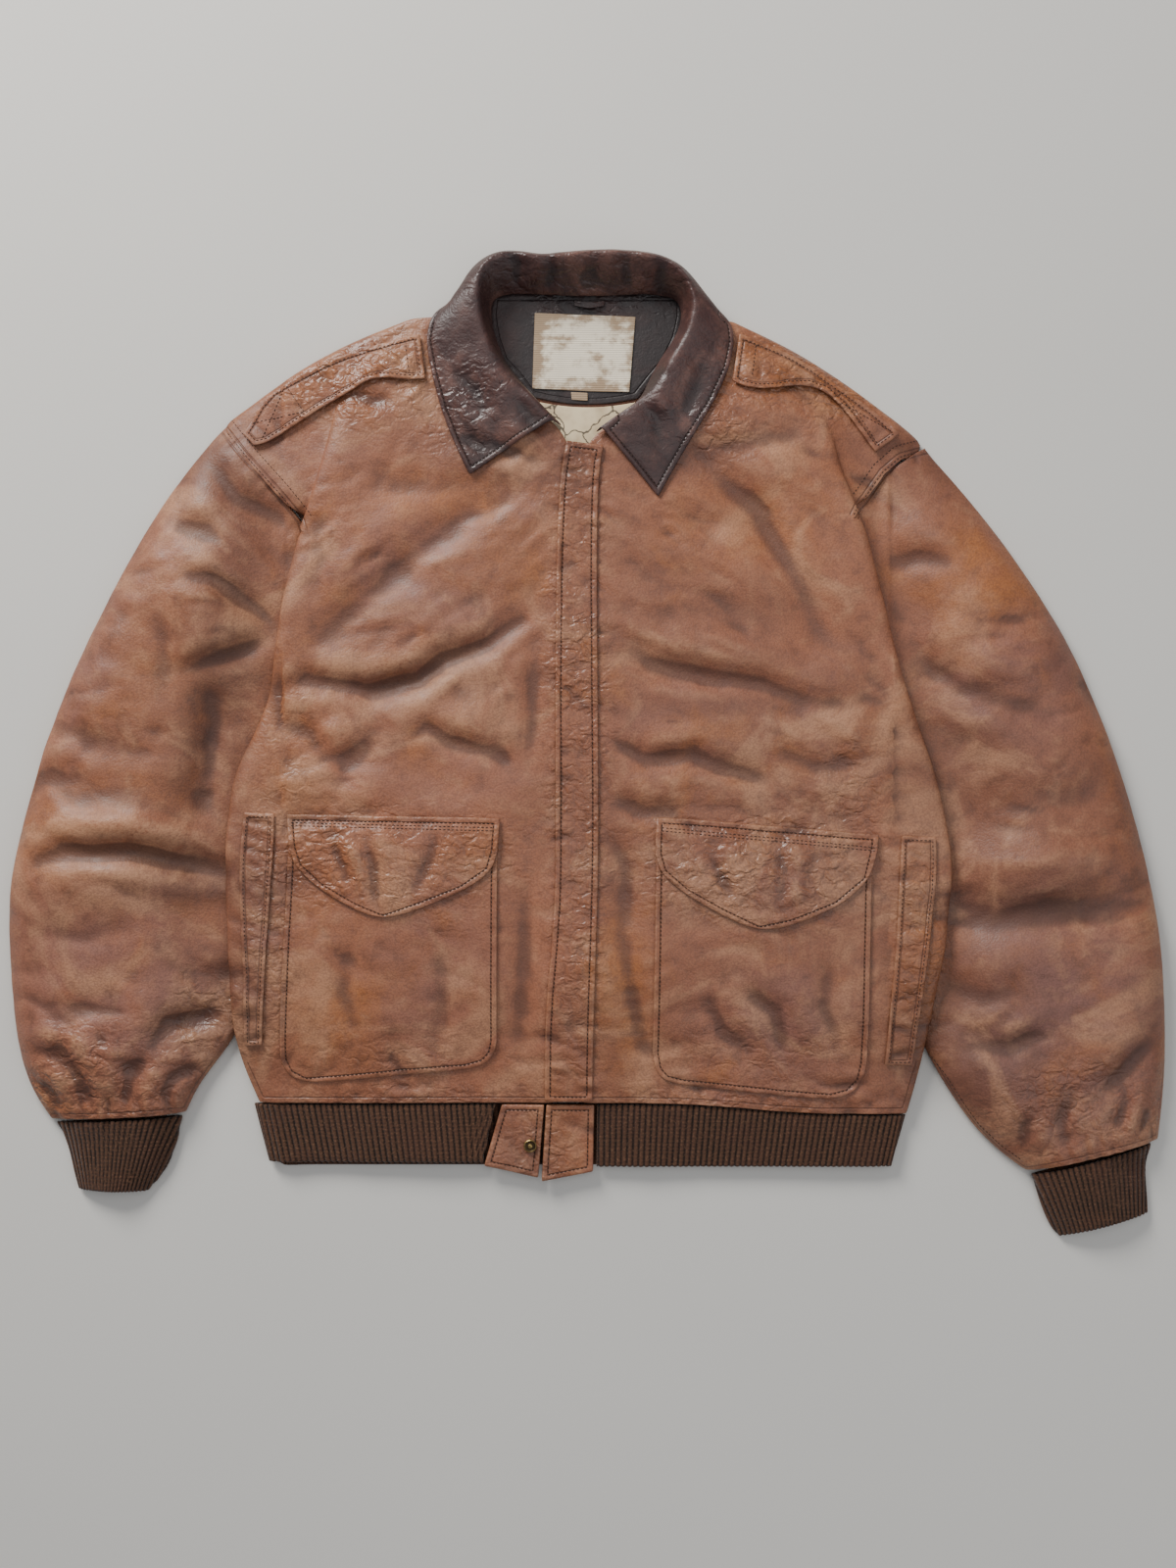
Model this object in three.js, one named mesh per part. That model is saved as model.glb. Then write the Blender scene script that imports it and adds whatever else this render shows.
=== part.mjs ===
// A worn leather flight jacket laid on its back, zipped, with its sleeves at its sides.
// Millimetres, +Z up. +X is the wearer's left, +Y runs from the hem to the collar, and the
// back panel rests on Z = 0. Every cloth piece is a wall: its outer face and the same face moved in.
import * as THREE from "three";

// Walls of the cloth
const LEATHER_WALL = 1.9;
const BACK_WALL = 2.0;
const COLLAR_WALL = 1.5;
const KNIT_WALL = 2.4;
const LINING_WALL = 1.0;
const LABEL_WALL = 0.8;
// Clearances: between pieces sewn edge to edge, and under a piece that lies on another
const SEAM_GAP = 0.5;
const LAY_GAP = 0.8;
const ARMHOLE_GAP = 1.4;
const HEM_GAP = 1.4;

// Heights of the body above the floor
const CHEST_HEIGHT = 24;
const HEM_HEIGHT = 13;
const NECK_HEIGHT = 19;
const SHELF_HEIGHT = 15.5;
const FOLD_UNDER = 13.6;
const HEM_UNDER = 5;
// Levels down the body
const HEM_Y = -290;
const HEM_LEFT_DROP = 9;
const HEM_RISE_END = -190;
const SHOULDER_FALL_START = 225;
const SHOULDER_FALL_END = 345;
// The side seam lies under the rolled side of the front, this far in from its edge
const SIDE_SEAM_IN = 30;
const SIDE_FOLD_ROUND = 10;
// How far the sleeves run in under the body, and their heights
const SLEEVE_TUCK = 13;
const SLEEVE_HEIGHT = 31;
const ARMHOLE_HEIGHT = 17;
const TUCKED_HEIGHT = 10.5;
const CUFF_HEIGHT = 19;

const LEATHER = { color: 0x7d5238, roughness: 0.55, metalness: 0 };
const COLLAR_LEATHER = { color: 0x4a2e2a, roughness: 0.5, metalness: 0 };
const FACING_LEATHER = { color: 0x2c2322, roughness: 0.6, metalness: 0 };
const KNIT = { color: 0x5b3d29, roughness: 0.95, metalness: 0 };
const LINING_CLOTH = { color: 0xe6d3ae, roughness: 0.9, metalness: 0 };
const LABEL_CLOTH = { color: 0xd9c9ae, roughness: 0.9, metalness: 0 };
const BRASS = { color: 0xb09a6a, roughness: 0.4, metalness: 1 };

const jacket = new THREE.Group();
const { clamp, lerp, smoothstep } = THREE.MathUtils;

function add(name, finish, geometry) {
  const mesh = new THREE.Mesh(geometry, new THREE.MeshStandardMaterial(finish));
  mesh.name = name;
  jacket.add(mesh);
}

// A curve through [x, y] or [x, y, z] points.
function curveThrough(points) {
  const knots = points.map(([x, y, z = 0]) => new THREE.Vector3(x, y, z));
  return new THREE.CatmullRomCurve3(knots, false, "centripetal");
}

// The outline through [reach, y] points, as a function that gives the reach at a level y.
function reachAlong(points) {
  const samples = curveThrough(points).getPoints(12 * points.length);
  const rising = samples[0].y < samples[samples.length - 1].y ? samples : samples.reverse();
  return (y) => {
    const next = rising.findIndex((sample) => sample.y >= y);
    if (next === 0) return rising[0].x;
    if (next < 0) return rising[rising.length - 1].x;
    const [low, high] = [rising[next - 1], rising[next]];
    return lerp(low.x, high.x, (y - low.y) / (high.y - low.y));
  };
}

// Height share of a quarter-round edge, at a distance in from it.
const quarterRound = (distance, reach) => Math.sqrt(1 - (1 - clamp(distance / reach, 0, 1)) ** 2);

// Evenly spaced fractions with one more set close to each end, which keeps the edges crisp.
function fractions(count, edge) {
  const inner = Array.from({ length: count - 1 }, (_, i) => (i + 1) / count);
  return [0, edge, ...inner, 1 - edge, 1];
}

// A cloth wall from rows of points on its outer face. A ring's rows close on themselves, and
// "around" says that the face looks away from the piece's middle instead of up.
function wall(rows, thickness, { ring = false, around = ring } = {}) {
  const last = rows.length - 1;
  const width = rows[0].length;
  const column = (j) => (ring ? (j + width) % width : clamp(j, 0, width - 1));
  const middle = new THREE.Vector3();
  rows.flat().forEach((point) => middle.addScaledVector(point, 1 / rows.flat().length));
  const normals = rows.map((row, i) =>
    row.map((_, j) => {
      const across = row[column(j + 1)].clone().sub(row[column(j - 1)]);
      const along = rows[Math.min(i + 1, last)][j].clone().sub(rows[Math.max(i - 1, 0)][j]);
      return across.cross(along).normalize();
    }),
  );
  let facing = 0;
  rows.forEach((row, i) =>
    row.forEach((point, j) => {
      facing += around ? normals[i][j].dot(point.clone().sub(middle)) : normals[i][j].z;
    }),
  );
  const inward = -thickness * Math.sign(facing);
  const points = [];
  rows.forEach((row, i) =>
    row.forEach((point, j) => points.push(point, point.clone().addScaledVector(normals[i][j], inward))),
  );
  const outer = (i, j) => 2 * (i * width + column(j));
  const inner = (i, j) => outer(i, j) + 1;
  const index = [];
  const quad = (a, b, c, d) => index.push(a, b, c, a, c, d);
  const spans = ring ? width : width - 1;
  for (let j = 0; j < spans; j += 1) {
    for (let i = 0; i < last; i += 1) {
      quad(outer(i, j), outer(i, j + 1), outer(i + 1, j + 1), outer(i + 1, j));
      quad(inner(i, j), inner(i + 1, j), inner(i + 1, j + 1), inner(i, j + 1));
    }
    quad(outer(0, j + 1), outer(0, j), inner(0, j), inner(0, j + 1));
    quad(outer(last, j), outer(last, j + 1), inner(last, j + 1), inner(last, j));
  }
  for (let i = 0; i < last && !ring; i += 1) {
    quad(outer(i, 0), outer(i + 1, 0), inner(i + 1, 0), inner(i, 0));
    quad(outer(i + 1, width), outer(i, width), inner(i, width), inner(i + 1, width));
  }
  if (facing < 0) index.reverse();
  const geometry = new THREE.BufferGeometry().setFromPoints(points);
  geometry.setIndex(index);
  return geometry;
}

// ---- Outlines. A half's reach is its distance out from the centre line, at a level y ----

const rightHalf = {
  side: -1,
  fold: reachAlong([
    [266, -292], [278, -267], [287, -232], [291, -150], [293, -102], [290, -50], [284, -15],
    [268, 12], [257, 40], [253, 75], [248, 112], [238, 155], [226, 194], [216, 224], [206, 260],
    [196, 285], [172, 308], [140, 333], [112, 352],
  ]),
  armhole: reachAlong([[232, 181], [249, 202], [276, 232], [297, 259]]),
  shoulder: reachAlong([[297, 259], [273, 277], [243, 299], [213, 317], [182, 332], [151, 343], [122, 352]]),
  opening: reachAlong([
    [25, -292], [24, -222], [17, -130], [16, 0], [16, 200], [12, 232], [14, 247], [32, 262],
    [49, 278], [72, 302], [82, 317], [87, 334], [91, 352],
  ]),
  armholeBase: 181,
  shoulderPoint: 259,
  foldTop: 285,
  top: 345,
  sleeveOuter: curveThrough([
    [297, 259], [335, 212], [380, 138], [418, 60], [442, -1], [458, -58], [470, -115],
    [471, -165], [467, -215], [461, -257], [451, -285], [437, -304],
  ]),
  sleeveInner: curveThrough([
    [231, 176], [226, 150], [235, 112], [240, 75], [244, 40], [255, 12], [271, -15], [277, -50],
    [280, -102], [278, -150], [276, -205], [282, -233], [300, -257], [315, -276], [325, -298],
  ]),
  sleeveBow: 0,
  cuffOuter: curveThrough([[433, -306.5], [423, -326], [420, -343], [415, -361]]),
  cuffInner: curveThrough([[328, -301], [333, -326], [341, -345], [357, -363]]),
};

const leftHalf = {
  side: 1,
  fold: reachAlong([
    [255, -299], [265, -277], [273, -245], [281, -205], [290, -155], [295, -96], [289, -55],
    [277, -10], [263, 28], [251, 68], [243, 102], [232, 144], [226, 168], [216, 194],
    [204, 226], [194, 260], [181, 284], [160, 305], [130, 328], [98, 349],
  ]),
  armhole: reachAlong([[217, 189], [226, 201], [240, 220], [256, 232], [276, 240]]),
  shoulder: reachAlong([
    [276, 240], [261, 256], [238, 273], [212, 293], [189, 308], [166, 322], [144, 332],
    [126, 339], [107, 349],
  ]),
  opening: reachAlong([
    [-6, -299], [-6, -222], [-5, 0], [-5, 230], [1, 243], [8, 251], [21, 263], [42, 275],
    [57, 287], [68, 304], [78, 323], [86, 341], [89, 349],
  ]),
  armholeBase: 189,
  shoulderPoint: 240,
  foldTop: 300,
  top: 342,
  sleeveOuter: curveThrough([
    [276, 240], [302, 211], [350, 148], [397, 72], [430, -10], [449, -72], [462, -130],
    [468, -179], [470, -232], [470, -271], [465, -320],
  ]),
  sleeveInner: curveThrough([
    [214, 184], [212, 166], [219, 144], [230, 102], [238, 68], [250, 28], [264, -10], [276, -55],
    [282, -96], [277, -155], [268, -205], [265, -235], [273, -250], [286, -271], [298, -291],
    [311, -309], [329, -327], [344, -341], [356, -346],
  ]),
  sleeveBow: 8,
  cuffOuter: curveThrough([[460, -324], [455, -337], [456, -361], [457, -380]]),
  cuffInner: curveThrough([[359, -349.5], [366, -369], [372, -387], [382, -400]]),
};

// The hem seam drops a little towards the wearer's left side.
const hemLine = (x) => HEM_Y - HEM_LEFT_DROP * smoothstep(x, 60, 200);

// Largest folds of the fronts: soft troughs along a line, [points, depth, half width]
const CHEST_FOLDS = [
  [[[-33, 212], [-96, 187], [-140, 152], [-172, 124], [-206, 92], [-238, 56]], 3.5, 15],
  [[[-62, 92], [-90, 78], [-135, 52], [-177, 44], [-235, 40]], 4.5, 15],
  [[[60, 172], [123, 172], [148, 138], [172, 108], [192, 84]], 4, 15],
  [[[40, 62], [74, 52], [111, 40], [158, 32], [190, 14]], 4, 15],
].map(([points, depth, reach]) => ({ samples: curveThrough(points).getPoints(40), depth, reach }));

function foldDepth(x, y) {
  let depth = 0;
  for (const fold of CHEST_FOLDS) {
    const nearest = Math.min(...fold.samples.map((sample) => Math.hypot(sample.x - x, sample.y - y)));
    depth += fold.depth * Math.exp(-((nearest / fold.reach) ** 2));
  }
  return depth;
}

// Height of the fronts' outer face over the body, without their sides.
function bodyHeight(x, y) {
  const hem = smoothstep(y, HEM_Y, HEM_RISE_END);
  const neck = smoothstep(y, SHOULDER_FALL_START, SHOULDER_FALL_END);
  const crown = lerp(lerp(HEM_HEIGHT, CHEST_HEIGHT, hem), NECK_HEIGHT, neck);
  return crown - foldDepth(x, y);
}

// Shares of the way from the side fold to the opening
const FRONT_FRACTIONS = [0.1, 0.24, 0.38, 0.52, 0.66, 0.8, 0.93];

// A line of points part of the way from one line to another
const blend = (a, b, amount) =>
  a.map(([reach, z], i) => [lerp(reach, b[i][0], amount), lerp(z, b[i][1], amount)]);

// One cross section of a front, as [reach, height] pairs from its outer edge to its opening.
// Below the armhole the front rolls round to the side seam underneath; beside the armhole it lies
// as a low shelf; above the shoulder point it rounds down to the back panel. Its side fold stands
// on the shelf and fades out under the shoulder strap.
function frontSection(half, y) {
  const fold = half.fold(y);
  const opening = half.opening(y);
  const hem = smoothstep(y, HEM_Y, HEM_RISE_END);
  const under = lerp(HEM_UNDER, FOLD_UNDER, hem);
  const shoulder = half.shoulder(y);
  const squeeze = clamp((shoulder - opening) / 110, 0, 1);
  const top = bodyHeight(half.side * (fold - SIDE_FOLD_ROUND), y);
  const shelf = lerp(SHELF_HEIGHT, NECK_HEIGHT - 1.5, smoothstep(y, half.foldTop - 20, half.top));
  const seamReach = fold - SIDE_SEAM_IN;
  const seamEdge = [
    [seamReach, BACK_WALL + SEAM_GAP],
    [fold - 0.72 * SIDE_SEAM_IN, 0.45 * under + 1],
    [fold - 0.45 * SIDE_SEAM_IN, under - 0.8],
    [fold - 4, under + 0.8],
  ];
  const hangingEdge = [[fold - 6, 4.5], [fold - 5, 8], [fold - 4.5, 12], [fold - 3, under + 1.6]];
  const arm = half.armhole(y);
  const armHeight = ARMHOLE_HEIGHT * quarterRound(1.3 * Math.max(half.shoulderPoint - y, 0) + 1, 44);
  const armRise = Math.min(shelf, armHeight + 4);
  const armEdge = [
    [arm, Math.min(armHeight, shelf)],
    [lerp(arm, fold - 2, 0.12), armRise],
    [lerp(arm, fold - 2, 0.5), shelf],
    [fold - 2, shelf + 0.5],
  ];
  const shoulderEdge = [
    [shoulder, BACK_WALL + 1],
    [shoulder - 1.5 * squeeze, 0.6 * shelf],
    [shoulder - 12 * squeeze, shelf],
    [fold + 9 * squeeze, lerp(shelf, top, 0.25)],
  ];
  const base = half.armholeBase;
  const belowArm = blend(seamEdge, hangingEdge, smoothstep(y, base - 14, base - 1));
  const besideArm = blend(belowArm, armEdge, smoothstep(y, base - 1, base + 12));
  const edge = blend(besideArm, shoulderEdge, smoothstep(y, half.shoulderPoint - 4, half.shoulderPoint + 14));
  const rolled = [[fold, (under + top) / 2], [fold - 3, top - 2.5], [fold - SIDE_FOLD_ROUND, top]];
  const slope = [2, -4, -SIDE_FOLD_ROUND].map((out, i) => [
    fold + out * squeeze,
    lerp(shelf, top, (i + 2) / 4),
  ]);
  const side = blend(rolled, slope, smoothstep(y, half.foldTop - 30, half.foldTop));
  const start = side[2][0];
  const rest = [...FRONT_FRACTIONS, 1].map((part) => {
    const reach = lerp(start, opening, part);
    return [reach, bodyHeight(half.side * reach, y)];
  });
  return [...edge, ...side, ...rest];
}

// The fronts' lowest levels follow the hem line, so that a level bends down by this much.
const hemShift = (x, level) => (1 - smoothstep(level, HEM_Y, HEM_Y + 60)) * (hemLine(x) - HEM_Y);

// Height of a front's outer face at a point, from its cross section at that level.
function frontTop(x, y) {
  const half = x < 0 ? rightHalf : leftHalf;
  const reach = half.side * x;
  let level = y;
  for (let turn = 0; turn < 6; turn += 1) level = y - hemShift(x, level);
  const section = frontSection(half, clamp(level, HEM_Y, half.top));
  for (let j = section.length - 1; j > 0; j -= 1) {
    const [near, far] = [section[j], section[j - 1]];
    if (reach >= near[0] && reach <= far[0]) {
      return lerp(near[1], far[1], (reach - near[0]) / Math.max(far[0] - near[0], 0.01));
    }
  }
  return bodyHeight(x, y);
}

// ---- Body ----

function frontRows(half) {
  const base = half.armholeBase;
  const levels = [HEM_Y, HEM_Y + 4];
  for (let part = 1; part <= 15; part += 1) levels.push(lerp(HEM_Y + 4, base - 24, part / 15));
  levels.push(base - 14, base - 8, base - 1, base + 5, base + 12);
  for (const part of [0.35, 0.7, 1]) levels.push(lerp(base + 12, half.shoulderPoint - 4, part));
  levels.push(half.shoulderPoint + 4, half.shoulderPoint + 14);
  for (const part of [0.2, 0.4, 0.6, 0.8, 0.96, 1]) {
    levels.push(lerp(half.shoulderPoint + 14, half.top, part));
  }
  return levels.map((y) =>
    frontSection(half, y).map(([reach, z]) => {
      const x = half.side * reach;
      return new THREE.Vector3(x, y + hemShift(x, y), z);
    }),
  );
}

function backRows() {
  const levels = [HEM_Y, HEM_Y + 4, -262, -220, -160, -100, -40, 10, 50, 100, 140, 164, 178, 186];
  levels.push(200, 218, 236, 248, 262, 280, 300, 320, 336, 346, 352, 358);
  const reachAt = (half, y) => {
    if (y < half.armholeBase - 5) return half.fold(y) - SIDE_SEAM_IN - 1;
    if (y < half.shoulderPoint) return half.armhole(y) - ARMHOLE_GAP;
    return half.shoulder(y) - lerp(6, 14, smoothstep(y, 330, 358)) - Math.max(y - 350, 0) * 2;
  };
  return levels.map((y) => {
    const [low, high] = [-reachAt(rightHalf, y), reachAt(leftHalf, y)];
    return fractions(7, 0.01).map((part) => {
      const x = lerp(low, high, part);
      return new THREE.Vector3(x, y + hemShift(x, y), BACK_WALL);
    });
  });
}

add("back_panel", LEATHER, wall(backRows(), BACK_WALL));
add("front_right", LEATHER, wall(frontRows(rightHalf), LEATHER_WALL));
add("front_left", LEATHER, wall(frontRows(leftHalf), LEATHER_WALL));

// ---- Sleeves and cuffs: flattened tubes, flat below and domed above ----

// One ring of a sleeve between its outer and inner edge. "tucked" is 1 where the body covers its
// inner side, which then lies low, and 0 where it is free.
function sleeveRing(outer, inner, { height, tucked, bow, side }) {
  const width = outer.distanceTo(inner);
  const direction = inner.clone().sub(outer).normalize();
  const across = new THREE.Vector3(direction.y, -direction.x, 0);
  const place = (fromOuter, z) => {
    const bowed = bow * Math.sin((Math.PI * fromOuter) / width);
    const point = outer.clone().addScaledVector(direction, fromOuter).addScaledVector(across, bowed);
    return new THREE.Vector3(side * point.x, point.y, z);
  };
  const topAt = (fromOuter) => {
    const fromInner = width - fromOuter;
    const free = height * quarterRound(fromInner, 40);
    const low = TUCKED_HEIGHT * quarterRound(fromInner, 9);
    const covered = low + (height - TUCKED_HEIGHT) * smoothstep(fromInner, 26, 84);
    return Math.min(height * quarterRound(fromOuter, 44), lerp(free, covered, tucked));
  };
  const narrow = Math.min(1, width / 170);
  const nearInner = [58, 42, 26].map((fromInner) => width - fromInner * narrow);
  const nearOuter = [3, 12 * Math.min(1, 1.4 * narrow), 30 * narrow];
  const stations = [...nearOuter, 0.38 * width, 0.52 * width, ...nearInner, width - 5];
  const edgeHeight = 0.22 * height;
  const dome = stations.map((fromOuter) => place(fromOuter, topAt(fromOuter)));
  const inside = place(width, lerp(edgeHeight, 4.5, tucked));
  const floorStations = [width - 5, 0.72 * width, 0.45 * width, 0.2 * width, 6];
  const floor = floorStations.map((fromOuter) => place(fromOuter, 0));
  return [place(0, edgeHeight), ...dome, inside, ...floor];
}

function sleeveRows(half) {
  return fractions(19, 0.006).map((part) => {
    const outer = half.sleeveOuter.getPointAt(part);
    const inner = half.sleeveInner.getPointAt(part);
    const clear = ARMHOLE_GAP * (1 - smoothstep(part, 0.1, 0.3));
    outer.add(new THREE.Vector3(clear, -clear, 0));
    inner.add(new THREE.Vector3(0, -clear, 0));
    const grown = lerp(ARMHOLE_HEIGHT, SLEEVE_HEIGHT, smoothstep(part, 0, 0.2));
    return sleeveRing(outer, inner, {
      height: lerp(grown, CUFF_HEIGHT + 2, smoothstep(part, 0.86, 1)),
      tucked: smoothstep(inner.y, -272, -236),
      bow: half.sleeveBow * (1 - smoothstep(part, 0, 0.25)),
      side: half.side,
    });
  });
}

function cuffRows(half) {
  return fractions(3, 0.05).map((part) => {
    const outer = half.cuffOuter.getPoint(part);
    const inner = half.cuffInner.getPoint(part);
    return sleeveRing(outer, inner, {
      height: lerp(CUFF_HEIGHT, CUFF_HEIGHT - 3, part),
      tucked: 0,
      bow: 0,
      side: half.side,
    });
  });
}

for (const [name, half] of [["right", rightHalf], ["left", leftHalf]]) {
  add(`sleeve_${name}`, LEATHER, wall(sleeveRows(half), LEATHER_WALL, { ring: true }));
  add(`cuff_${name}`, KNIT, wall(cuffRows(half), KNIT_WALL, { ring: true }));
}

// ---- Pieces that lie on the fronts: a patch between two curves, moved out from the fronts ----

// Rows run from the lower curve to the upper one; "lift" gives the height of a point's outer face.
function patch(lower, upper, { across, along, lift, edge = 0.03 }) {
  const [low, high] = [curveThrough(lower), curveThrough(upper)];
  return fractions(along, edge).map((part) =>
    fractions(across, edge / 2).map((share) => {
      const point = low.getPoint(share).lerp(high.getPoint(share), part);
      return new THREE.Vector3(point.x, point.y, lift(point.x, point.y));
    }),
  );
}

const onFront = (layers) => (x, y) => frontTop(x, y) + layers * (LEATHER_WALL + LAY_GAP);

const POCKETS = {
  right: {
    bottom: [[-248, -240], [-246, -262], [-228, -274], [-165, -267], [-98, -263], [-78, -255], [-73, -240]],
    top: [[-240, -73], [-210, -73], [-180, -74], [-155, -74], [-130, -74], [-100, -75], [-72, -75]],
    flapBottom: [[-239, -84], [-231, -104], [-196, -127], [-164, -142], [-122, -126], [-80, -107], [-72, -86]],
    flapTop: [[-242, -56], [-213, -56], [-185, -57], [-157, -57], [-128, -58], [-98, -58], [-70, -59]],
  },
  left: {
    bottom: [[52, -250], [57, -268], [76, -275], [137, -281], [196, -287], [218, -279], [225, -258]],
    top: [[55, -76], [84, -78], [112, -80], [140, -82], [168, -84], [196, -86], [229, -89]],
    flapBottom: [[54, -88], [61, -108], [98, -131], [137, -151], [175, -141], [222, -117], [232, -86]],
    flapTop: [[55, -58], [85, -60], [114, -62], [144, -65], [174, -67], [204, -70], [234, -72]],
  },
};

for (const [name, shape] of Object.entries(POCKETS)) {
  const bag = patch(shape.bottom, shape.top, { across: 9, along: 6, lift: onFront(1) });
  add(`pocket_${name}`, LEATHER, wall(bag, LEATHER_WALL));
  const [firstTop, lastTop] = [shape.flapTop[0], shape.flapTop[shape.flapTop.length - 1]];
  const flapSlope = (lastTop[1] - firstTop[1]) / (lastTop[0] - firstTop[0]);
  const flapLift = (x, y) => {
    const below = firstTop[1] + (x - firstTop[0]) * flapSlope - y;
    return frontTop(x, y) + lerp(1, 2, smoothstep(below, 2, 13)) * (LEATHER_WALL + LAY_GAP);
  };
  const flap = patch(shape.flapBottom, shape.flapTop, { across: 8, along: 4, lift: flapLift, edge: 0.05 });
  add(`pocket_flap_${name}`, LEATHER, wall(flap, LEATHER_WALL));
}

// Hand-warmer welts: narrow strips just inside the rolled sides
const WELTS = {
  right: [
    [[-277, -243], [-276, -190], [-279, -130], [-279, -90], [-276, -54]],
    [[-262, -243], [-259, -190], [-255, -130], [-252, -90], [-251, -55]],
  ],
  left: [
    [[239, -259], [243, -210], [247, -160], [250, -110], [252, -73]],
    [[262, -259], [268, -210], [274, -160], [280, -110], [280, -74]],
  ],
};
for (const [name, [lowX, highX]] of Object.entries(WELTS)) {
  const strip = patch(lowX, highX, { across: 7, along: 2, lift: onFront(1), edge: 0.08 });
  add(`welt_${name}`, LEATHER, wall(strip, LEATHER_WALL));
}

// Wind flap over the zip: its left edge is free and its right edge is sewn to the left front
const WIND_FLAP_FREE = [
  [-35, -289], [-34, -222], [-27, -130], [-26, -60], [-26, 80], [-24, 180], [-21, 222], [-17, 244],
];
const WIND_FLAP_SEWN = [
  [4, -289], [5, -222], [8, -130], [9, -60], [8, 80], [8, 180], [10, 222], [13, 240],
];
const windFlap = patch(WIND_FLAP_FREE, WIND_FLAP_SEWN, {
  across: 17,
  along: 3,
  lift: onFront(1),
  edge: 0.06,
});
add("wind_flap", LEATHER, wall(windFlap, LEATHER_WALL));

// Shoulder straps, from the collar to the armhole
const STRAPS = {
  right: {
    lower: [
      [-130, 294], [-146, 293], [-164, 295], [-176, 293], [-198, 280], [-225, 265], [-256, 244], [-269, 241],
    ],
    upper: [
      [-135, 331], [-160, 325], [-186, 318], [-212, 308], [-240, 293], [-260, 281], [-270, 265], [-278, 251],
    ],
  },
  left: {
    lower: [[116, 292], [126, 287], [143, 285], [160, 288], [180, 289], [196, 282], [214, 260], [232, 236]],
    upper: [[122, 331], [140, 324], [160, 316], [180, 305], [202, 290], [222, 276], [238, 263], [252, 250]],
  },
};
for (const [name, strap] of Object.entries(STRAPS)) {
  const rows = patch(strap.lower, strap.upper, { across: 9, along: 3, lift: onFront(1.5), edge: 0.06 });
  add(`shoulder_strap_${name}`, LEATHER, wall(rows, LEATHER_WALL));
}

// ---- Hem: one knit band from tab to tab round the back, and the two leather tabs ----

const HEM_BOTTOM = -338;
const RIB_TOP = 11;
const RIB_RIGHT_END = -255;
const RIB_LEFT_END = 243;
// The band is wider at its top, where the leather is gathered on to it.
const RIB_SPLAY = 0.045;
const END_SLANT = -13;
const BACK_SAG = 4;

function hemBand() {
  const front = (x) => [x, RIB_TOP];
  const rightFront = [-72, -76, -110, -145, -180, -215, -246].map(front);
  const rightTurn = [
    [RIB_RIGHT_END - 1, RIB_TOP - 1.5], [RIB_RIGHT_END - 4, RIB_TOP / 2], [RIB_RIGHT_END - 1, 1.2],
  ];
  const back = [-246, -200, -140, -80, -20, 40, 100, 160, 200, 234].map((x) => [x, 0]);
  const leftTurn = [
    [RIB_LEFT_END + 1, 1.2], [RIB_LEFT_END + 4, RIB_TOP / 2], [RIB_LEFT_END + 1, RIB_TOP - 1.5],
  ];
  const leftFront = [234, 204, 170, 136, 102, 68, 34, 11.5, 7.5].map(front);
  const stations = [...rightFront, ...rightTurn, ...back, ...leftTurn, ...leftFront];
  return fractions(2, 0.06).map((part) =>
    stations.map(([x, z], i) => {
      const bottom = HEM_BOTTOM - (i < rightFront.length + rightTurn.length ? 0 : BACK_SAG);
      const slant = i < 2 ? END_SLANT * part : 0;
      const splay = x * RIB_SPLAY * (1 - part);
      return new THREE.Vector3(x + slant + splay, lerp(hemLine(x) - HEM_GAP, bottom, part), z);
    }),
  );
}
add("hem_rib", KNIT, wall(hemBand(), KNIT_WALL, { around: true }));

const TAB_HEIGHT = HEM_HEIGHT - 0.5;
const TABS = {
  right: [[[-84, -341], [-61, -346], [-40, -351]], [[-69.5, -291], [-52, -291], [-35, -291]]],
  left: [[[-37.5, -354], [-16, -350], [4.5, -346]], [[-33.5, -291], [-14, -291], [5.5, -291]]],
};
for (const [name, [bottom, top]] of Object.entries(TABS)) {
  const tab = patch(bottom, top, { across: 3, along: 3, lift: () => TAB_HEIGHT, edge: 0.08 });
  add(`hem_tab_${name}`, LEATHER, wall(tab, 2 * LEATHER_WALL));
}

// Snap on the right tab: a ring with a stud in its middle
const SNAP_PLACE = [-46.5, -324.5];
const snapProfile = [
  [0, 0], [5, 0], [5.2, 0.8], [4.4, 1.5], [3.2, 0.9], [2.4, 0.9], [2.1, 1.9], [1.2, 2.3], [0, 2.4],
];
const snap = new THREE.LatheGeometry(snapProfile.map(([x, y]) => new THREE.Vector2(x, y)), 20);
snap.rotateX(Math.PI / 2);
snap.translate(SNAP_PLACE[0], SNAP_PLACE[1], TAB_HEIGHT + 0.4);
add("hem_snap", BRASS, snap);

// ---- Neck: facing, lining, label, tag, loop and collar ----

const FACING_HEIGHT = BACK_WALL + SEAM_GAP + LEATHER_WALL;
// The facing's lower edge, a shallow curve
const FACING_LOW = 276;
const facingBottom = (x) => FACING_LOW + 0.0034 * x * x;

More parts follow.
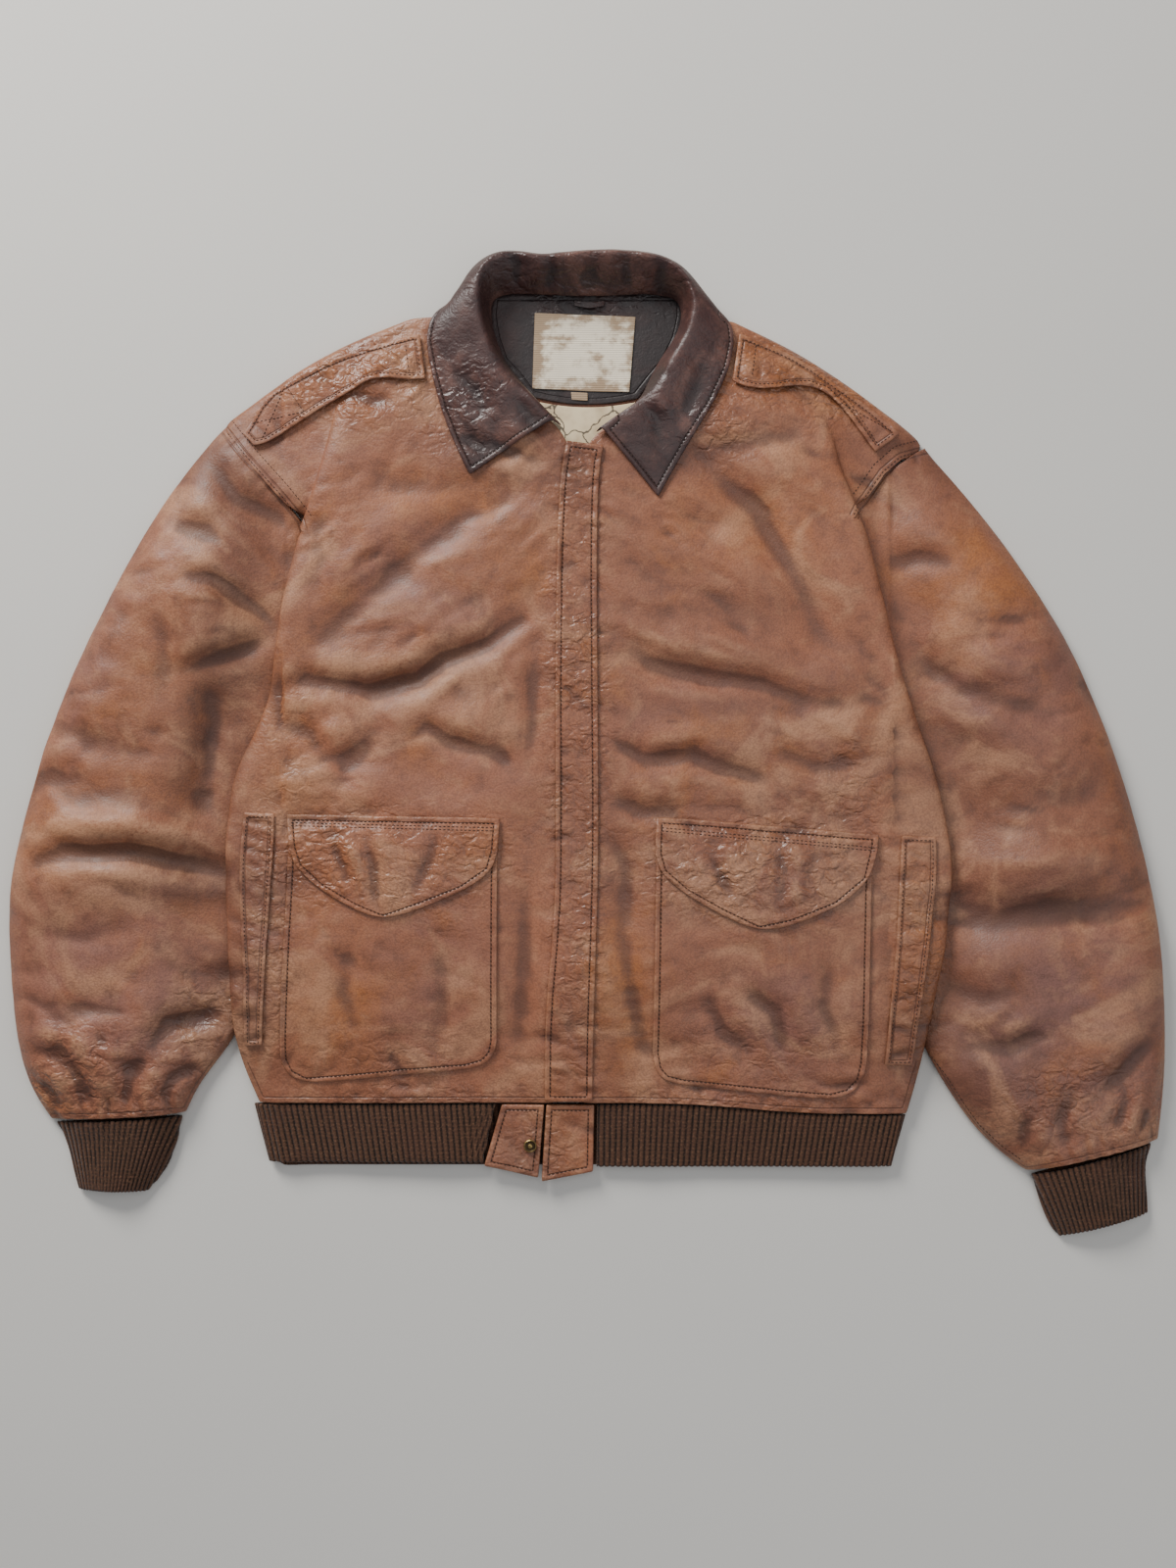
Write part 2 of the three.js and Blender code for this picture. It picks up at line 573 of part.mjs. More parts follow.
function neckRows(rightSide, leftSide, levels, height) {
  return levels.map((level) =>
    fractions(6, 0.03).map((part) => {
      const x = lerp(rightSide(level), leftSide(level), part);
      return new THREE.Vector3(x, level, height);
    }),
  );
}
const facingRight = reachAlong([[-40, 270], [-58, 300], [-68, 316], [-73, 336], [-75, 350], [-73, 361]]);
const facingLeft = reachAlong([[34, 270], [54, 300], [66, 322], [73, 345], [73, 361]]);
const facing = neckRows(facingRight, facingLeft, [277, 279, 295, 312, 330, 347, 358, 361], FACING_HEIGHT);
facing.forEach((row) =>
  row.forEach((point) => {
    const lowEdge = 1 - smoothstep(point.y, 277, 312);
    point.y += lowEdge * (facingBottom(point.x) - FACING_LOW);
  }),
);
add("neck_facing", FACING_LEATHER, wall(facing, LEATHER_WALL));

const LINING_HEIGHT = BACK_WALL + SEAM_GAP + LINING_WALL;
const LINING_LEVELS = [222, 224, 240, 258, 273, 275];
const lining = neckRows(() => -50, () => 44, LINING_LEVELS, LINING_HEIGHT);
lining.forEach((row) =>
  row.forEach((point) => {
    point.y += smoothstep(point.y, 240, 275) * (facingBottom(point.x) - FACING_LOW);
  }),
);
add("neck_lining", LINING_CLOTH, wall(lining, LINING_WALL));

const flatAt = (height) => () => height;
const LABEL_HEIGHT = FACING_HEIGHT + SEAM_GAP + LABEL_WALL;
const label = patch([[-45, 290], [-5, 288], [34, 287]], [[-43, 351.5], [-2, 350], [39, 348.5]], {
  across: 3, along: 3, lift: flatAt(LABEL_HEIGHT),
});
add("label", LABEL_CLOTH, wall(label, LABEL_WALL));
const tag = patch([[-13, 281], [0, 280]], [[-13.5, 287.2], [0, 286.6]], {
  across: 2, along: 2, lift: flatAt(LABEL_HEIGHT), edge: 0.1,
});
add("size_tag", LABEL_CLOTH, wall(tag, LABEL_WALL));
const loop = patch([[-11, 357], [1, 354.5], [14, 357]], [[-11, 361.5], [1, 359.5], [14, 361.5]], {
  across: 4, along: 1, lift: (x) => LABEL_HEIGHT + 3 - 0.012 * (x - 1.5) ** 2, edge: 0.1,
});
add("hanger_loop", FACING_LEATHER, wall(loop, LEATHER_WALL));

// Collar: each station crosses it from the neck seam over the roll to its outer edge, as
// [seam, roll, middle of the fall, outer edge].
const COLLAR_STATIONS = [
  [[-20, 256, 23], [-28, 260, 30], [-60, 240, 27.5], [-95, 216, 26.5]],
  [[-21, 258, 23], [-30, 262, 31], [-62, 242, 28.5], [-97, 220, 26.5]],
  [[-36, 272, 22], [-44, 278, 33], [-75, 261, 29.5], [-107, 241, 26.5]],
  [[-51, 290, 20], [-61, 295, 34], [-90, 283, 30], [-118, 268, 26.5]],
  [[-68, 312, 14], [-77, 316, 35], [-102, 309, 31], [-126, 299, 25.5]],
  [[-76, 337, 11], [-84, 337, 36], [-108, 334, 32], [-131, 325, 25]],
  [[-78, 351, 10], [-87, 355, 36], [-112, 352, 30], [-127, 346, 22]],
  [[-76, 361, 9.5], [-87, 371, 36], [-106, 366, 25], [-111, 358, 12]],
  [[-66, 364, 9], [-82, 386, 36], [-91, 391, 22], [-88, 381, 4]],
  [[-56, 364.5, 9], [-68, 393, 35], [-69, 400, 20], [-66, 386, 3]],
  [[-46, 364.5, 9], [-51, 391, 35], [-51, 398, 20], [-50, 384, 3]],
  [[-32, 363.5, 9], [-37, 388, 34], [-37, 395, 20], [-37, 382, 3]],
  [[-16, 363, 9], [-20, 391, 35], [-20, 398, 20], [-20, 384, 3]],
  [[8, 363, 9], [10, 393, 35], [10, 400, 20], [10, 386, 3]],
  [[32, 364, 9], [38, 392, 35], [38, 399, 20], [37, 385, 3]],
  [[50, 364.5, 9], [58, 389, 35], [60, 396, 20], [57, 383, 3]],
  [[64, 363, 9], [75, 379, 36], [81, 384, 22], [77, 374, 4]],
  [[73, 359, 9.5], [82, 365, 36], [95, 363, 26], [99, 355, 13]],
  [[76, 348, 10], [85, 350, 36], [103, 349, 30], [117, 341, 23]],
  [[71, 331, 11], [81, 333, 36], [101, 330, 32], [118.5, 322, 24]],
  [[61, 317, 14], [74, 320, 35], [95, 313, 31], [114, 301, 25.5]],
  [[50, 298, 18], [63, 301, 35], [83, 288, 30.5], [101, 273, 26.5]],
  [[43, 279, 25.5], [53, 284, 34], [68, 265, 30], [83, 245, 26.5]],
  [[31, 268, 25.5], [39, 274, 33], [54, 247, 30], [68, 219, 26.8]],
  [[16, 257, 24], [23, 264, 31], [41, 234, 29], [58.5, 202, 26.8]],
  [[4, 249.5, 26.5], [10, 254, 31], [33, 227, 28], [57, 198, 26.8]],
];

function collarRows() {
  return COLLAR_STATIONS.map(([seam, roll, middle, edge]) => {
    const [a, b, c, d] = [seam, roll, middle, edge].map((point) => new THREE.Vector3(...point));
    const inside = a.clone().lerp(b, 0.6);
    inside.z += 0.08 * (b.z - a.z);
    const over = b.clone().lerp(c, 0.3);
    over.z += 1;
    const nearEdge = c.clone().lerp(d, 0.86);
    return [a, inside, b, over, c, c.clone().lerp(d, 0.5), nearEdge, d];
  });
}
add("collar", COLLAR_LEATHER, wall(collarRows(), COLLAR_WALL));

// The group's origin is the middle of its box on the floor.
const box = new THREE.Box3().setFromObject(jacket);
jacket.position.set(-(box.min.x + box.max.x) / 2, -(box.min.y + box.max.y) / 2, -box.min.z);
jacket.updateMatrixWorld(true);

export default jacket;
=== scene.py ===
"""A worn leather flight jacket laid flat: the finish of every piece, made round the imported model."""

import math
import random

import bmesh
import bpy
import numpy as np
from bpy.props import FloatProperty, FloatVectorProperty, PointerProperty
from mathutils import Matrix, Vector, noise
from mathutils.bvhtree import BVHTree


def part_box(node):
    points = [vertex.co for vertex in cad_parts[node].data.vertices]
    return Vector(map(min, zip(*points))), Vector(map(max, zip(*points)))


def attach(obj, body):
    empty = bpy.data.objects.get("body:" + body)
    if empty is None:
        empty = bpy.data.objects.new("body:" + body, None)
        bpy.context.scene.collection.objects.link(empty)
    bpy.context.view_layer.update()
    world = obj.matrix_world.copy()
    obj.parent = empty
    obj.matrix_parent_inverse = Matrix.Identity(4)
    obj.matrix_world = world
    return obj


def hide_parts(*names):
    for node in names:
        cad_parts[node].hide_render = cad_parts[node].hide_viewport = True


bl_info = {
    "name": "Worn Flight Jacket",
    "version": (1, 0, 0),
    "blender": (4, 5, 0),
    "location": "View3D > Sidebar > Jacket",
    "description": "Builds a worn leather flight jacket laid flat on a pale floor",
    "category": "Object",
}

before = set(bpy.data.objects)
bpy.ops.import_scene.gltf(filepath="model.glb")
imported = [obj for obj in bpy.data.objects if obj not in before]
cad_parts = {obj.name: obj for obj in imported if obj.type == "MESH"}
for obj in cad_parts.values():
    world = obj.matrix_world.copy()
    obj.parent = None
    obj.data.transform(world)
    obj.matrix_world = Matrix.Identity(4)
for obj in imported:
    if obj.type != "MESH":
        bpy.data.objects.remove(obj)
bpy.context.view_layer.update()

MM = 0.001
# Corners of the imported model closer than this, in metres, are one
MERGE = 2e-5
# Almost half a turn: every pair of triangles that makes a quad is joined
FLAT_ANGLE = 3.1
# Edges sharper than this are the rim of a wall
RIM_ANGLE = math.radians(62)
# Past every real distance, to start a search for the nearest
FAR = 1e9

# The rest of these are in millimetres. How far an edge or seam still marks the leather:
EDGE_REACH = 60
# Sleeves keep their own edge below this, at the cuffs, and take the armhole seam above it
SLEEVE_END = -255
# How far from an armhole the leather is drawn in, and the height above which it also sinks
SEAM_PULL = 6
SINK_ABOVE = 3
# The relief fades in from this height, over this much more, so that nothing sinks into the floor
RELIEF_FROM, RELIEF_OVER = 3, 9


def srgb(code):
    """A hex colour as linear red, green and blue."""
    channels = [int(code[i : i + 2], 16) / 255 for i in (1, 3, 5)]
    return tuple(c / 12.92 if c <= 0.04045 else ((c + 0.055) / 1.055) ** 2.4 for c in channels)


def colour(name, description, code):
    return FloatVectorProperty(
        name=name, description=description, default=srgb(code), size=3, subtype="COLOR", min=0, max=1
    )


def length(name, description, metres):
    return FloatProperty(
        name=name, description=description, default=metres, subtype="DISTANCE", unit="LENGTH"
    )


class JacketSizes(bpy.types.PropertyGroup):
    """Sizes that a user would change"""

    stitch_pitch: length("Stitch pitch", "From one stitch of a seam to the next", 0.0034)
    stitch_length: length("Stitch length", "Length of the thread that shows", 0.0025)
    thread: length("Thread", "Thickness of the sewing thread", 0.0007)
    seam_inset: length("Seam inset", "From a piece's edge to its row of stitches", 0.0048)
    rib_pitch: length("Rib pitch", "Width of one rib of the knit", 0.0046)
    rib_depth: length("Rib depth", "How far a rib stands out of its grooves", 0.0011)
    grain: length("Grain", "Width of one pebble of the leather's grain", 0.0016)
    crumple: length("Crumple", "Height of the loose wrinkles of the hide", 0.0014)


class JacketColours(bpy.types.PropertyGroup):
    """Colours that a user would change"""

    hide: colour("Hide", "Main brown of the leather", "#9b6145")
    # Also used for painted shade in folds, creases, stitch grooves and at the rims of pieces
    hide_dark: colour("Hide, dark", "Brown of the folds and soiled parts", "#4a2e25")
    # Also used for painted highlight on ridges and rolled edges, beside real rubbing
    hide_light: colour("Hide, worn", "Rubbed edges and ridges", "#bb8a68")
    hide_red: colour("Hide, cognac", "Patches where the finish has gone", "#a3622f")
    hide_mauve: colour("Hide, mauve", "Cooler brown where the dye has faded", "#7c5650")
    collar: colour("Collar", "Dark leather of the collar", "#462a26")
    # Also used for painted highlight on the collar's ridges and rolled edges, beside real rubbing
    collar_light: colour("Collar, worn", "Rubbed edges of the collar", "#7d564a")
    facing: colour("Facing", "Black leather inside the neck", "#2a2222")
    knit: colour("Knit", "Wool of the cuffs and the hem band", "#503627")
    knit_dark: colour("Knit, grooves", "Shadow between the ribs", "#1c110b")
    lining: colour("Lining", "Printed cloth inside the body", "#e6d3ae")
    label: colour("Label", "Woven label and size tag", "#efe3cc")
    stain: colour("Stain", "Brown stains on the label", "#8b6a48")
    thread: colour("Thread", "Sewing thread", "#24160f")
    brass: colour("Brass", "Oxidised metal of the snap", "#a58b58")
    floor: colour("Floor", "Plain pale floor", "#d9d6d0")


def sizes():
    return bpy.context.scene.jacket_sizes


def colours():
    return bpy.context.scene.jacket_colours


# ---- Relief: one height map of folds, wrinkles and puckers that every layer shares ----

RELIEF_STEP = 2.0
RELIEF_X = np.arange(-500, 500.1, RELIEF_STEP)
RELIEF_Y = np.arange(-430, 430.1, RELIEF_STEP)
relief = {"height": None, "wear": None}

# All listed folds are made this much deeper and wider
FOLD_DEPTH = 1.5
FOLD_WIDTH = 1.15
LOOSE_CREASES = 210

# Round prints of the snaps under the leather: x, y, radius and rise
SNAP_PRINTS = [(-83, 250, 7.6, 0.9), (136, -126, 7.0, 0.9)]

# Where the leather is finely crinkled, and where it is redder, darker and cooler: x, y, half sizes, weight.
# The darker ovals are broad dark patches and, along the deepest folds and the hem seam, narrow strips of
# painted shade
CRINKLED = [
    (-92, 268, 50, 48, 0.7), (94, 266, 50, 48, 0.7),
    (-155, -95, 100, 44, 1.0), (145, -100, 100, 44, 1.0),
    (-255, -150, 20, 100, 1.0), (267, -165, 22, 100, 0.7), (-190, 300, 85, 42, 1.0), (185, 300, 85, 42, 1.0),
    (-378, -268, 90, 44, 1.0), (408, -292, 90, 44, 0.9), (-310, -218, 40, 36, 0.9), (-8, 0, 26, 330, 0.8),
    (150, -240, 80, 40, 0.5), (-150, -250, 90, 26, 0.5), (-150, -286, 130, 16, 0.7),
    (120, -288, 140, 16, 0.7),
    (-238, 0, 34, 60, 0.4), (215, -40, 34, 50, 0.6), (-45, -330, 40, 40, 0.8), (0, 380, 110, 40, 0.7),
]
COGNAC = [
    (-205, -190, 42, 66, 1.0), (28, -215, 24, 60, 1.0), (318, 140, 66, 44, 0.8), (-190, 305, 80, 40, 0.6),
    (190, 305, 80, 40, 0.9), (150, 190, 84, 40, 0.6), (-70, 160, 60, 44, 0.4), (-335, 62, 60, 50, 0.4),
    (268, -170, 22, 80, 0.8), (238, 20, 36, 60, 0.6), (-240, 10, 30, 70, 0.6), (-395, -50, 66, 36, 0.5),
    (-95, 205, 70, 22, 0.6), (-20, -300, 24, 40, 0.5), (-150, -90, 80, 34, 0.5), (-262, 278, 36, 30, 0.6),
]
DARK_PATCHES_AND_FOLD_SHADE = [
    (-60, 240, 66, 30, 0.7), (72, 236, 52, 24, 0.6), (-300, 232, 36, 36, 0.6), (-296, 100, 30, 120, 0.6),
    (-320, -112, 70, 20, 0.8), (306, -20, 50, 60, 0.6), (330, -130, 100, 18, 0.7), (-388, 150, 50, 90, 0.4),
    (300, -250, 60, 60, 0.7), (-300, -205, 44, 60, 0.7), (-150, 52, 90, 14, 0.4), (-18, 228, 18, 30, 0.7),
    (285, 236, 40, 30, 0.5), (-50, -340, 26, 40, 0.6), (110, 30, 90, 14, 0.4), (-140, -300, 120, 12, 0.4),
]
MAUVE = [
    (-384, -190, 70, 80, 0.8), (370, -210, 90, 90, 0.9), (-140, 140, 70, 46, 0.7), (90, 10, 70, 44, 0.6),
    (150, -220, 60, 44, 0.8), (-424, 80, 50, 110, 0.7), (340, 60, 70, 60, 0.8), (-120, -22, 60, 34, 0.5),
    (120, -110, 70, 24, 0.5), (-120, -180, 40, 60, 0.6), (-258, -150, 16, 90, 0.5), (-220, 240, 40, 40, 0.5),
]
ARMHOLES = {
    "right": [(-312, 276), (-298, 259), (-276, 232), (-249, 202), (-232, 181), (-229, 172)],
    "left": [(290, 246), (276, 239), (254, 232), (240, 220), (226, 200), (218, 190), (214, 182)],
}

# Main folds, given in millimetres: points, depth, half width, height of the ridge beside it
FRONT_FOLDS = [
    ([(-33, 212), (-96, 187), (-140, 152), (-172, 124), (-206, 92), (-239, 56)], 2.4, 10, 0.6),
    ([(-47, 104), (-79, 81), (-116, 69), (-135, 52), (-177, 44), (-226, 52), (-253, 40)], 4.4, 7, 0.7),
    ([(-150, 0), (-128, 14), (-112, 4), (-84, -4), (-57, -16)], 2.6, 7, 0.8),
    ([(-160, 24), (-176, 6), (-192, -16), (-206, -50)], 2.6, 10, 0.6),
    ([(-200, 170), (-160, 140), (-110, 122), (-66, 110)], 1.6, 11, 0.6),
    ([(-60, 40), (-70, 14), (-64, -30)], 1.8, 8, 0.5),
    ([(-182, 212), (-120, 206), (-60, 214)], 1.8, 10, 0.6),
    ([(-42, 90), (-44, 30), (-50, -30)], 2.0, 7, 0.5),
    ([(-50, -100), (-51, -170), (-56, -262)], 2.4, 9, 0.5),
    ([(-194, 284), (-175, 277), (-155, 276)], 1.8, 5, 0.6),
    ([(-222, 186), (-214, 150), (-220, 110)], 1.5, 9, 0.5),
    ([(-250, 20), (-222, 8), (-206, -14)], 1.8, 7, 0.6),
    ([(-220, 24), (-180, 26), (-150, 38)], 1.8, 8, 0.6),
    ([(-110, 250), (-70, 238), (-34, 226)], 2.2, 6, 0.7),
    ([(62, 232), (100, 222), (136, 190), (172, 128), (196, 74)], 3.8, 12, 0.8),
    ([(150, 214), (184, 176), (206, 128)], 1.8, 10, 0.6),
    ([(24, 152), (60, 136), (110, 112), (160, 92)], 1.8, 12, 0.6),
    ([(18, 88), (50, 64), (92, 56), (140, 48), (186, 32), (222, 28)], 4.2, 9, 0.8),
    ([(90, 34), (130, 30), (168, 22), (196, 2), (210, -22)], 2.2, 8, 0.7),
    ([(18, 4), (46, -12), (86, -10), (124, -22), (150, -30)], 3.0, 7, 0.8),
    ([(150, 0), (186, -18), (228, -16)], 1.8, 8, 0.6),
    ([(82, 240), (125, 240), (176, 252)], 2.2, 9, 0.8),
    ([(20, -44), (48, -54), (80, -52)], 2.4, 6, 0.7),
    ([(16, -70), (30, -96), (36, -150)], 2.0, 8, 0.5),
    ([(21, -110), (36, -200), (50, -268)], 2.4, 9, 0.5),
    ([(187, 280), (209, 207), (243, 101)], -1.8, 8, 0.3),
    ([(232, 120), (246, 60), (262, 6)], -1.6, 9, 0.3),
    ([(120, -190), (150, -214), (160, -252)], 2.2, 8, 0.7),
    ([(96, -200), (110, -232), (140, -250)], 2.0, 7, 0.7),
    ([(196, -170), (190, -210), (206, -250)], 1.8, 8, 0.6),
    ([(-190, -150), (-196, -200), (-180, -246)], 1.8, 9, 0.5),
    ([(-120, -160), (-116, -210), (-128, -250)], 1.6, 9, 0.5),
    ([(-160, -246), (-150, -262), (-140, -270)], 2.0, 5, 0.6),
    ([(-180, -66), (-172, -96), (-168, -136)], 1.8, 5, 0.7),
    ([(-205, -68), (-198, -92), (-186, -116)], 1.4, 5, 0.7),
    ([(-120, -70), (-128, -96), (-140, -122)], 1.6, 5, 0.7),
    ([(96, -74), (104, -100), (118, -126)], 1.8, 6, 0.7),
    ([(150, -78), (160, -104), (152, -134)], 1.6, 5, 0.7),
    ([(186, -86), (176, -104), (178, -124)], 1.4, 5, 0.7),
]
SLEEVE_FOLDS = [
    ([(-310, 236), (-282, 199), (-236, 178)], 2.4, 8, 0.7),
    ([(-300, 180), (-272, 158), (-244, 128)], -2.2, 8, 0.3),
    ([(-332, 176), (-310, 170), (-292, 170)], 2.6, 8, 0.7),
    ([(-330, 140), (-300, 132), (-262, 104), (-244, 88)], 2.8, 7, 0.7),
    ([(-330, 56), (-306, 66), (-277, 77), (-252, 92)], 3.0, 7, 0.7),
    ([(-306, 60), (-302, 20), (-306, -20), (-313, -60)], 3.6, 10, 0.7),
    ([(-282, 40), (-276, 0), (-290, -44)], 2.0, 9, 0.6),
    ([(-350, 130), (-338, 80), (-340, 30)], 1.8, 11, 0.5),
    ([(-430, 20), (-400, 2), (-360, -6), (-330, 6)], 1.8, 12, 0.6),
    ([(-456, -40), (-440, -26), (-404, -24)], 2.6, 8, 0.7),
    ([(-452, -96), (-420, -88), (-366, -86), (-338, -93), (-310, -98), (-280, -106)], 5.2, 8, 0.9),
    ([(-446, -60), (-400, -58), (-350, -62), (-320, -72)], -2.2, 11, 0.3),
    ([(-444, -146), (-400, -152), (-356, -140)], 1.8, 11, 0.6),
    ([(-284, -204), (-308, -218), (-336, -224), (-352, -246)], 3.6, 8, 0.8),
    ([(-276, -180), (-300, -190), (-330, -186)], 2.2, 8, 0.7),
    ([(-452, -206), (-420, -216), (-372, -204)], 2.0, 10, 0.6),
    ([(-452, -240), (-430, -246), (-408, -238)], 2.0, 6, 0.7),
    ([(-400, -292), (-410, -262), (-428, -238)], 2.8, 7, 0.6),
    ([(-372, -290), (-366, -262), (-346, -242)], 2.6, 7, 0.6),
    ([(-345, -290), (-335, -270), (-314, -258)], 2.4, 6, 0.6),
    ([(-422, -296), (-440, -272)], 2.2, 5, 0.6),
    ([(-386, -270), (-392, -246), (-386, -226)], 1.8, 6, 0.6),
    ([(240, 146), (266, 152), (298, 146)], 2.4, 8, 0.7),
    ([(258, 90), (280, 64), (302, 46), (340, 34), (380, 22)], 3.0, 12, 0.7),
    ([(262, 30), (290, 4), (330, -10)], 2.0, 12, 0.6),
    ([(272, -128), (330, -140), (390, -134), (456, -122)], 5.0, 14, 0.8),
    ([(290, -92), (360, -88), (436, -80)], -2.2, 14, 0.3),
    ([(276, -186), (320, -204), (360, -200)], 1.8, 10, 0.6),
    ([(394, -300), (424, -270), (458, -232)], 3.2, 9, 0.7),
    ([(300, -236), (340, -244), (380, -226)], 2.4, 9, 0.7),
    ([(420, -316), (430, -296), (434, -272)], 2.6, 6, 0.6),
    ([(446, -314), (452, -290)], 2.2, 4, 0.6),
    ([(385, -324), (380, -300), (392, -272)], 2.2, 7, 0.6),
    ([(352, -330), (352, -306), (366, -286)], 1.8, 6, 0.6),
    ([(360, 112), (330, 96), (296, 92)], 1.8, 11, 0.5),
    ([(424, -20), (395, -40), (352, -44)], 1.8, 12, 0.5),
    ([(440, 20), (410, 40), (396, 70)], 1.6, 10, 0.5),
]
COLLAR_FOLDS = [
    ([(-112, 300), (-92, 288), (-78, 262)], 1.6, 6, 0.6),
    ([(-100, 250), (-84, 232), (-74, 222)], 1.2, 5, 0.6),
    ([(-60, 280), (-46, 262), (-36, 252)], 1.8, 5, 0.6),
    ([(-70, 320), (-62, 300), (-46, 280)], 1.6, 7, 0.6),
    ([(96, 312), (88, 284), (66, 246)], 1.8, 6, 0.7),
    ([(40, 282), (56, 258), (60, 230)], 1.8, 6, 0.6),
    ([(64, 306), (50, 286), (26, 276)], 1.6, 5, 0.7),
    ([(-62, 396), (-56, 384), (-58, 370)], 2.2, 5, 0.6),
    ([(-34, 392), (-28, 380), (-34, 368)], 1.8, 4, 0.6),
    ([(2, 396), (4, 382), (-2, 366)], 1.6, 5, 0.6),
    ([(36, 396), (30, 382), (36, 366)], 1.8, 5, 0.6),
    ([(64, 388), (58, 374), (64, 362)], 1.8, 5, 0.6),
    ([(-40, 372), (0, 376), (44, 372)], 1.4, 5, 0.6),
]


def press(height, points, depth, width, roll):
    """Presses a soft trough along a line of points into the height map. The leather rolls up fuller
    on the trough's upper side than on its lower side."""
    line = np.array(points, float)
    reach = 5.2 * width
    low, high = line.min(0) - reach, line.max(0) + reach
    columns = np.where((RELIEF_X >= low[0]) & (RELIEF_X <= high[0]))[0]
    rows = np.where((RELIEF_Y >= low[1]) & (RELIEF_Y <= high[1]))[0]
    if not len(columns) or not len(rows):
        return
    x, y = np.meshgrid(RELIEF_X[columns], RELIEF_Y[rows])
    steps = np.diff(line, axis=0)
    spans = np.linalg.norm(steps, axis=1)
    whole = line[-1] - line[0]
    upward = 1.0 if whole[0] >= 0 else -1.0
    nearest = np.full(x.shape, FAR)
    along, side = np.zeros(x.shape), np.ones(x.shape)
    travelled = 0.0
    for start, step, span in zip(line[:-1], steps, spans):
        out_x, out_y = x - start[0], y - start[1]
        share = np.clip((out_x * step[0] + out_y * step[1]) / span**2, 0, 1)
        gap = np.hypot(out_x - share * step[0], out_y - share * step[1])
        closer = gap < nearest
        nearest = np.where(closer, gap, nearest)
        along = np.where(closer, (travelled + share * span) / spans.sum(), along)
        turned = (step[0] * out_y - step[1] * out_x) * upward / span
        side = np.where(closer, turned, side)
        travelled += span
    fade = np.sin(np.pi * along) ** 0.7
    signed = nearest * np.clip(side / np.maximum(nearest, 0.5), -1, 1)
    profile = -np.exp(-((nearest / width) ** 2))
    profile += roll * np.exp(-(((signed - 2.2 * width) / (1.7 * width)) ** 2))
    profile += 0.4 * roll * np.exp(-(((signed + 2.0 * width) / (1.4 * width)) ** 2))
    height[np.ix_(rows, columns)] += depth * fade * profile


def puckers(height, points, pitch, reach, depth, rng):
    """Short gathers across a seam, as its thread pulls the leather in."""
    line = [Vector((x, y)) for x, y in points]
    for start, end in zip(line, line[1:]):
        across = (end - start).normalized().orthogonal()
        count = max(int((end - start).length / pitch), 1)
        for i in range(count):
            middle = start.lerp(end, (i + rng.uniform(0.2, 0.8)) / count)
            tilt = (end - start).normalized() * rng.uniform(-4, 4)
            size = reach * rng.uniform(0.6, 1.3)
            ends = [middle - across * size + tilt, middle + across * size - tilt]
            ends = [tuple(p) for p in ends]
            press(height, ends, depth * rng.uniform(0.5, 1.2), rng.uniform(2.4, 3.6), 0.6)


# Seams that gather the leather: points, pitch, reach and depth of the gathers
GATHERED_SEAMS = [
    ([(-27, -285), (-20, -120), (-19, 80), (-15, 232)], 9, 11, 1.5),
    ([(1, -285), (4, -120), (3, 80), (5, 232)], 10, 11, 1.4),
    ([(-297, 259), (-276, 232), (-249, 202), (-228, 176)], 12, 12, 1.0),
    ([(276, 240), (256, 232), (240, 220), (226, 201), (216, 186)], 12, 12, 1.0),
    ([(-130, 300), (-176, 300), (-225, 274), (-270, 248)], 13, 9, 0.9),
    ([(120, 300), (180, 296), (214, 268), (240, 240)], 13, 9, 0.9),
    ([(-247, -60), (-248, -240), (-225, -274), (-98, -263), (-72, -240), (-71, -100)], 19, 9, 0.7),
    ([(54, -100), (53, -255), (76, -276), (196, -287), (226, -255), (231, -100)], 19, 9, 0.7),
    ([(-270, -240), (-268, -150), (-264, -60)], 11, 11, 1.6),
    ([(251, -256), (258, -160), (266, -76)], 15, 11, 1.3),
    ([(-262, -286), (-150, -282), (-70, -284)], 14, 11, 1.0),
    ([(8, -284), (110, -287), (250, -292)], 14, 11, 1.0),
    ([(-436, -298), (-328, -292)], 11, 16, 1.6),
    ([(462, -312), (360, -338)], 11, 16, 1.6),
]


def blurred(values, passes, reach):
    """Box blur of the height map, repeated."""
    for _ in range(passes):
        for axis in (0, 1):
            padded = np.concatenate(
                [values.take([0] * reach, axis), values, values.take([-1] * reach, axis)], axis
            )
            total = np.cumsum(np.insert(padded, 0, 0, axis), axis)
            window = 2 * reach + 1
            size = values.shape[axis]
            ahead, behind = range(window, window + size), range(size)
            values = (total.take(ahead, axis) - total.take(behind, axis)) / window
    return values


def lie_of_folds(x, y):
    """Direction in which loose wrinkles run: up to the neck on the fronts, across the sleeves."""
    if abs(x) > 245:
        return math.copysign(0.24, x)
    lift = min(max((y + 80) / 120, 0), 1)
    return lift * (0.62 if x < -20 else -0.45)


def disc(height, x, y, radius, rise):
    """The round print of a hidden snap."""
    columns, rows = np.meshgrid(RELIEF_X, RELIEF_Y)
    gap = np.hypot(columns - x, rows - y)
    ring = 0.5 * rise * np.exp(-(((gap - radius - 1.6) / 1.4) ** 2))
    height += rise / (1 + np.exp((gap - radius) / 0.7)) - ring


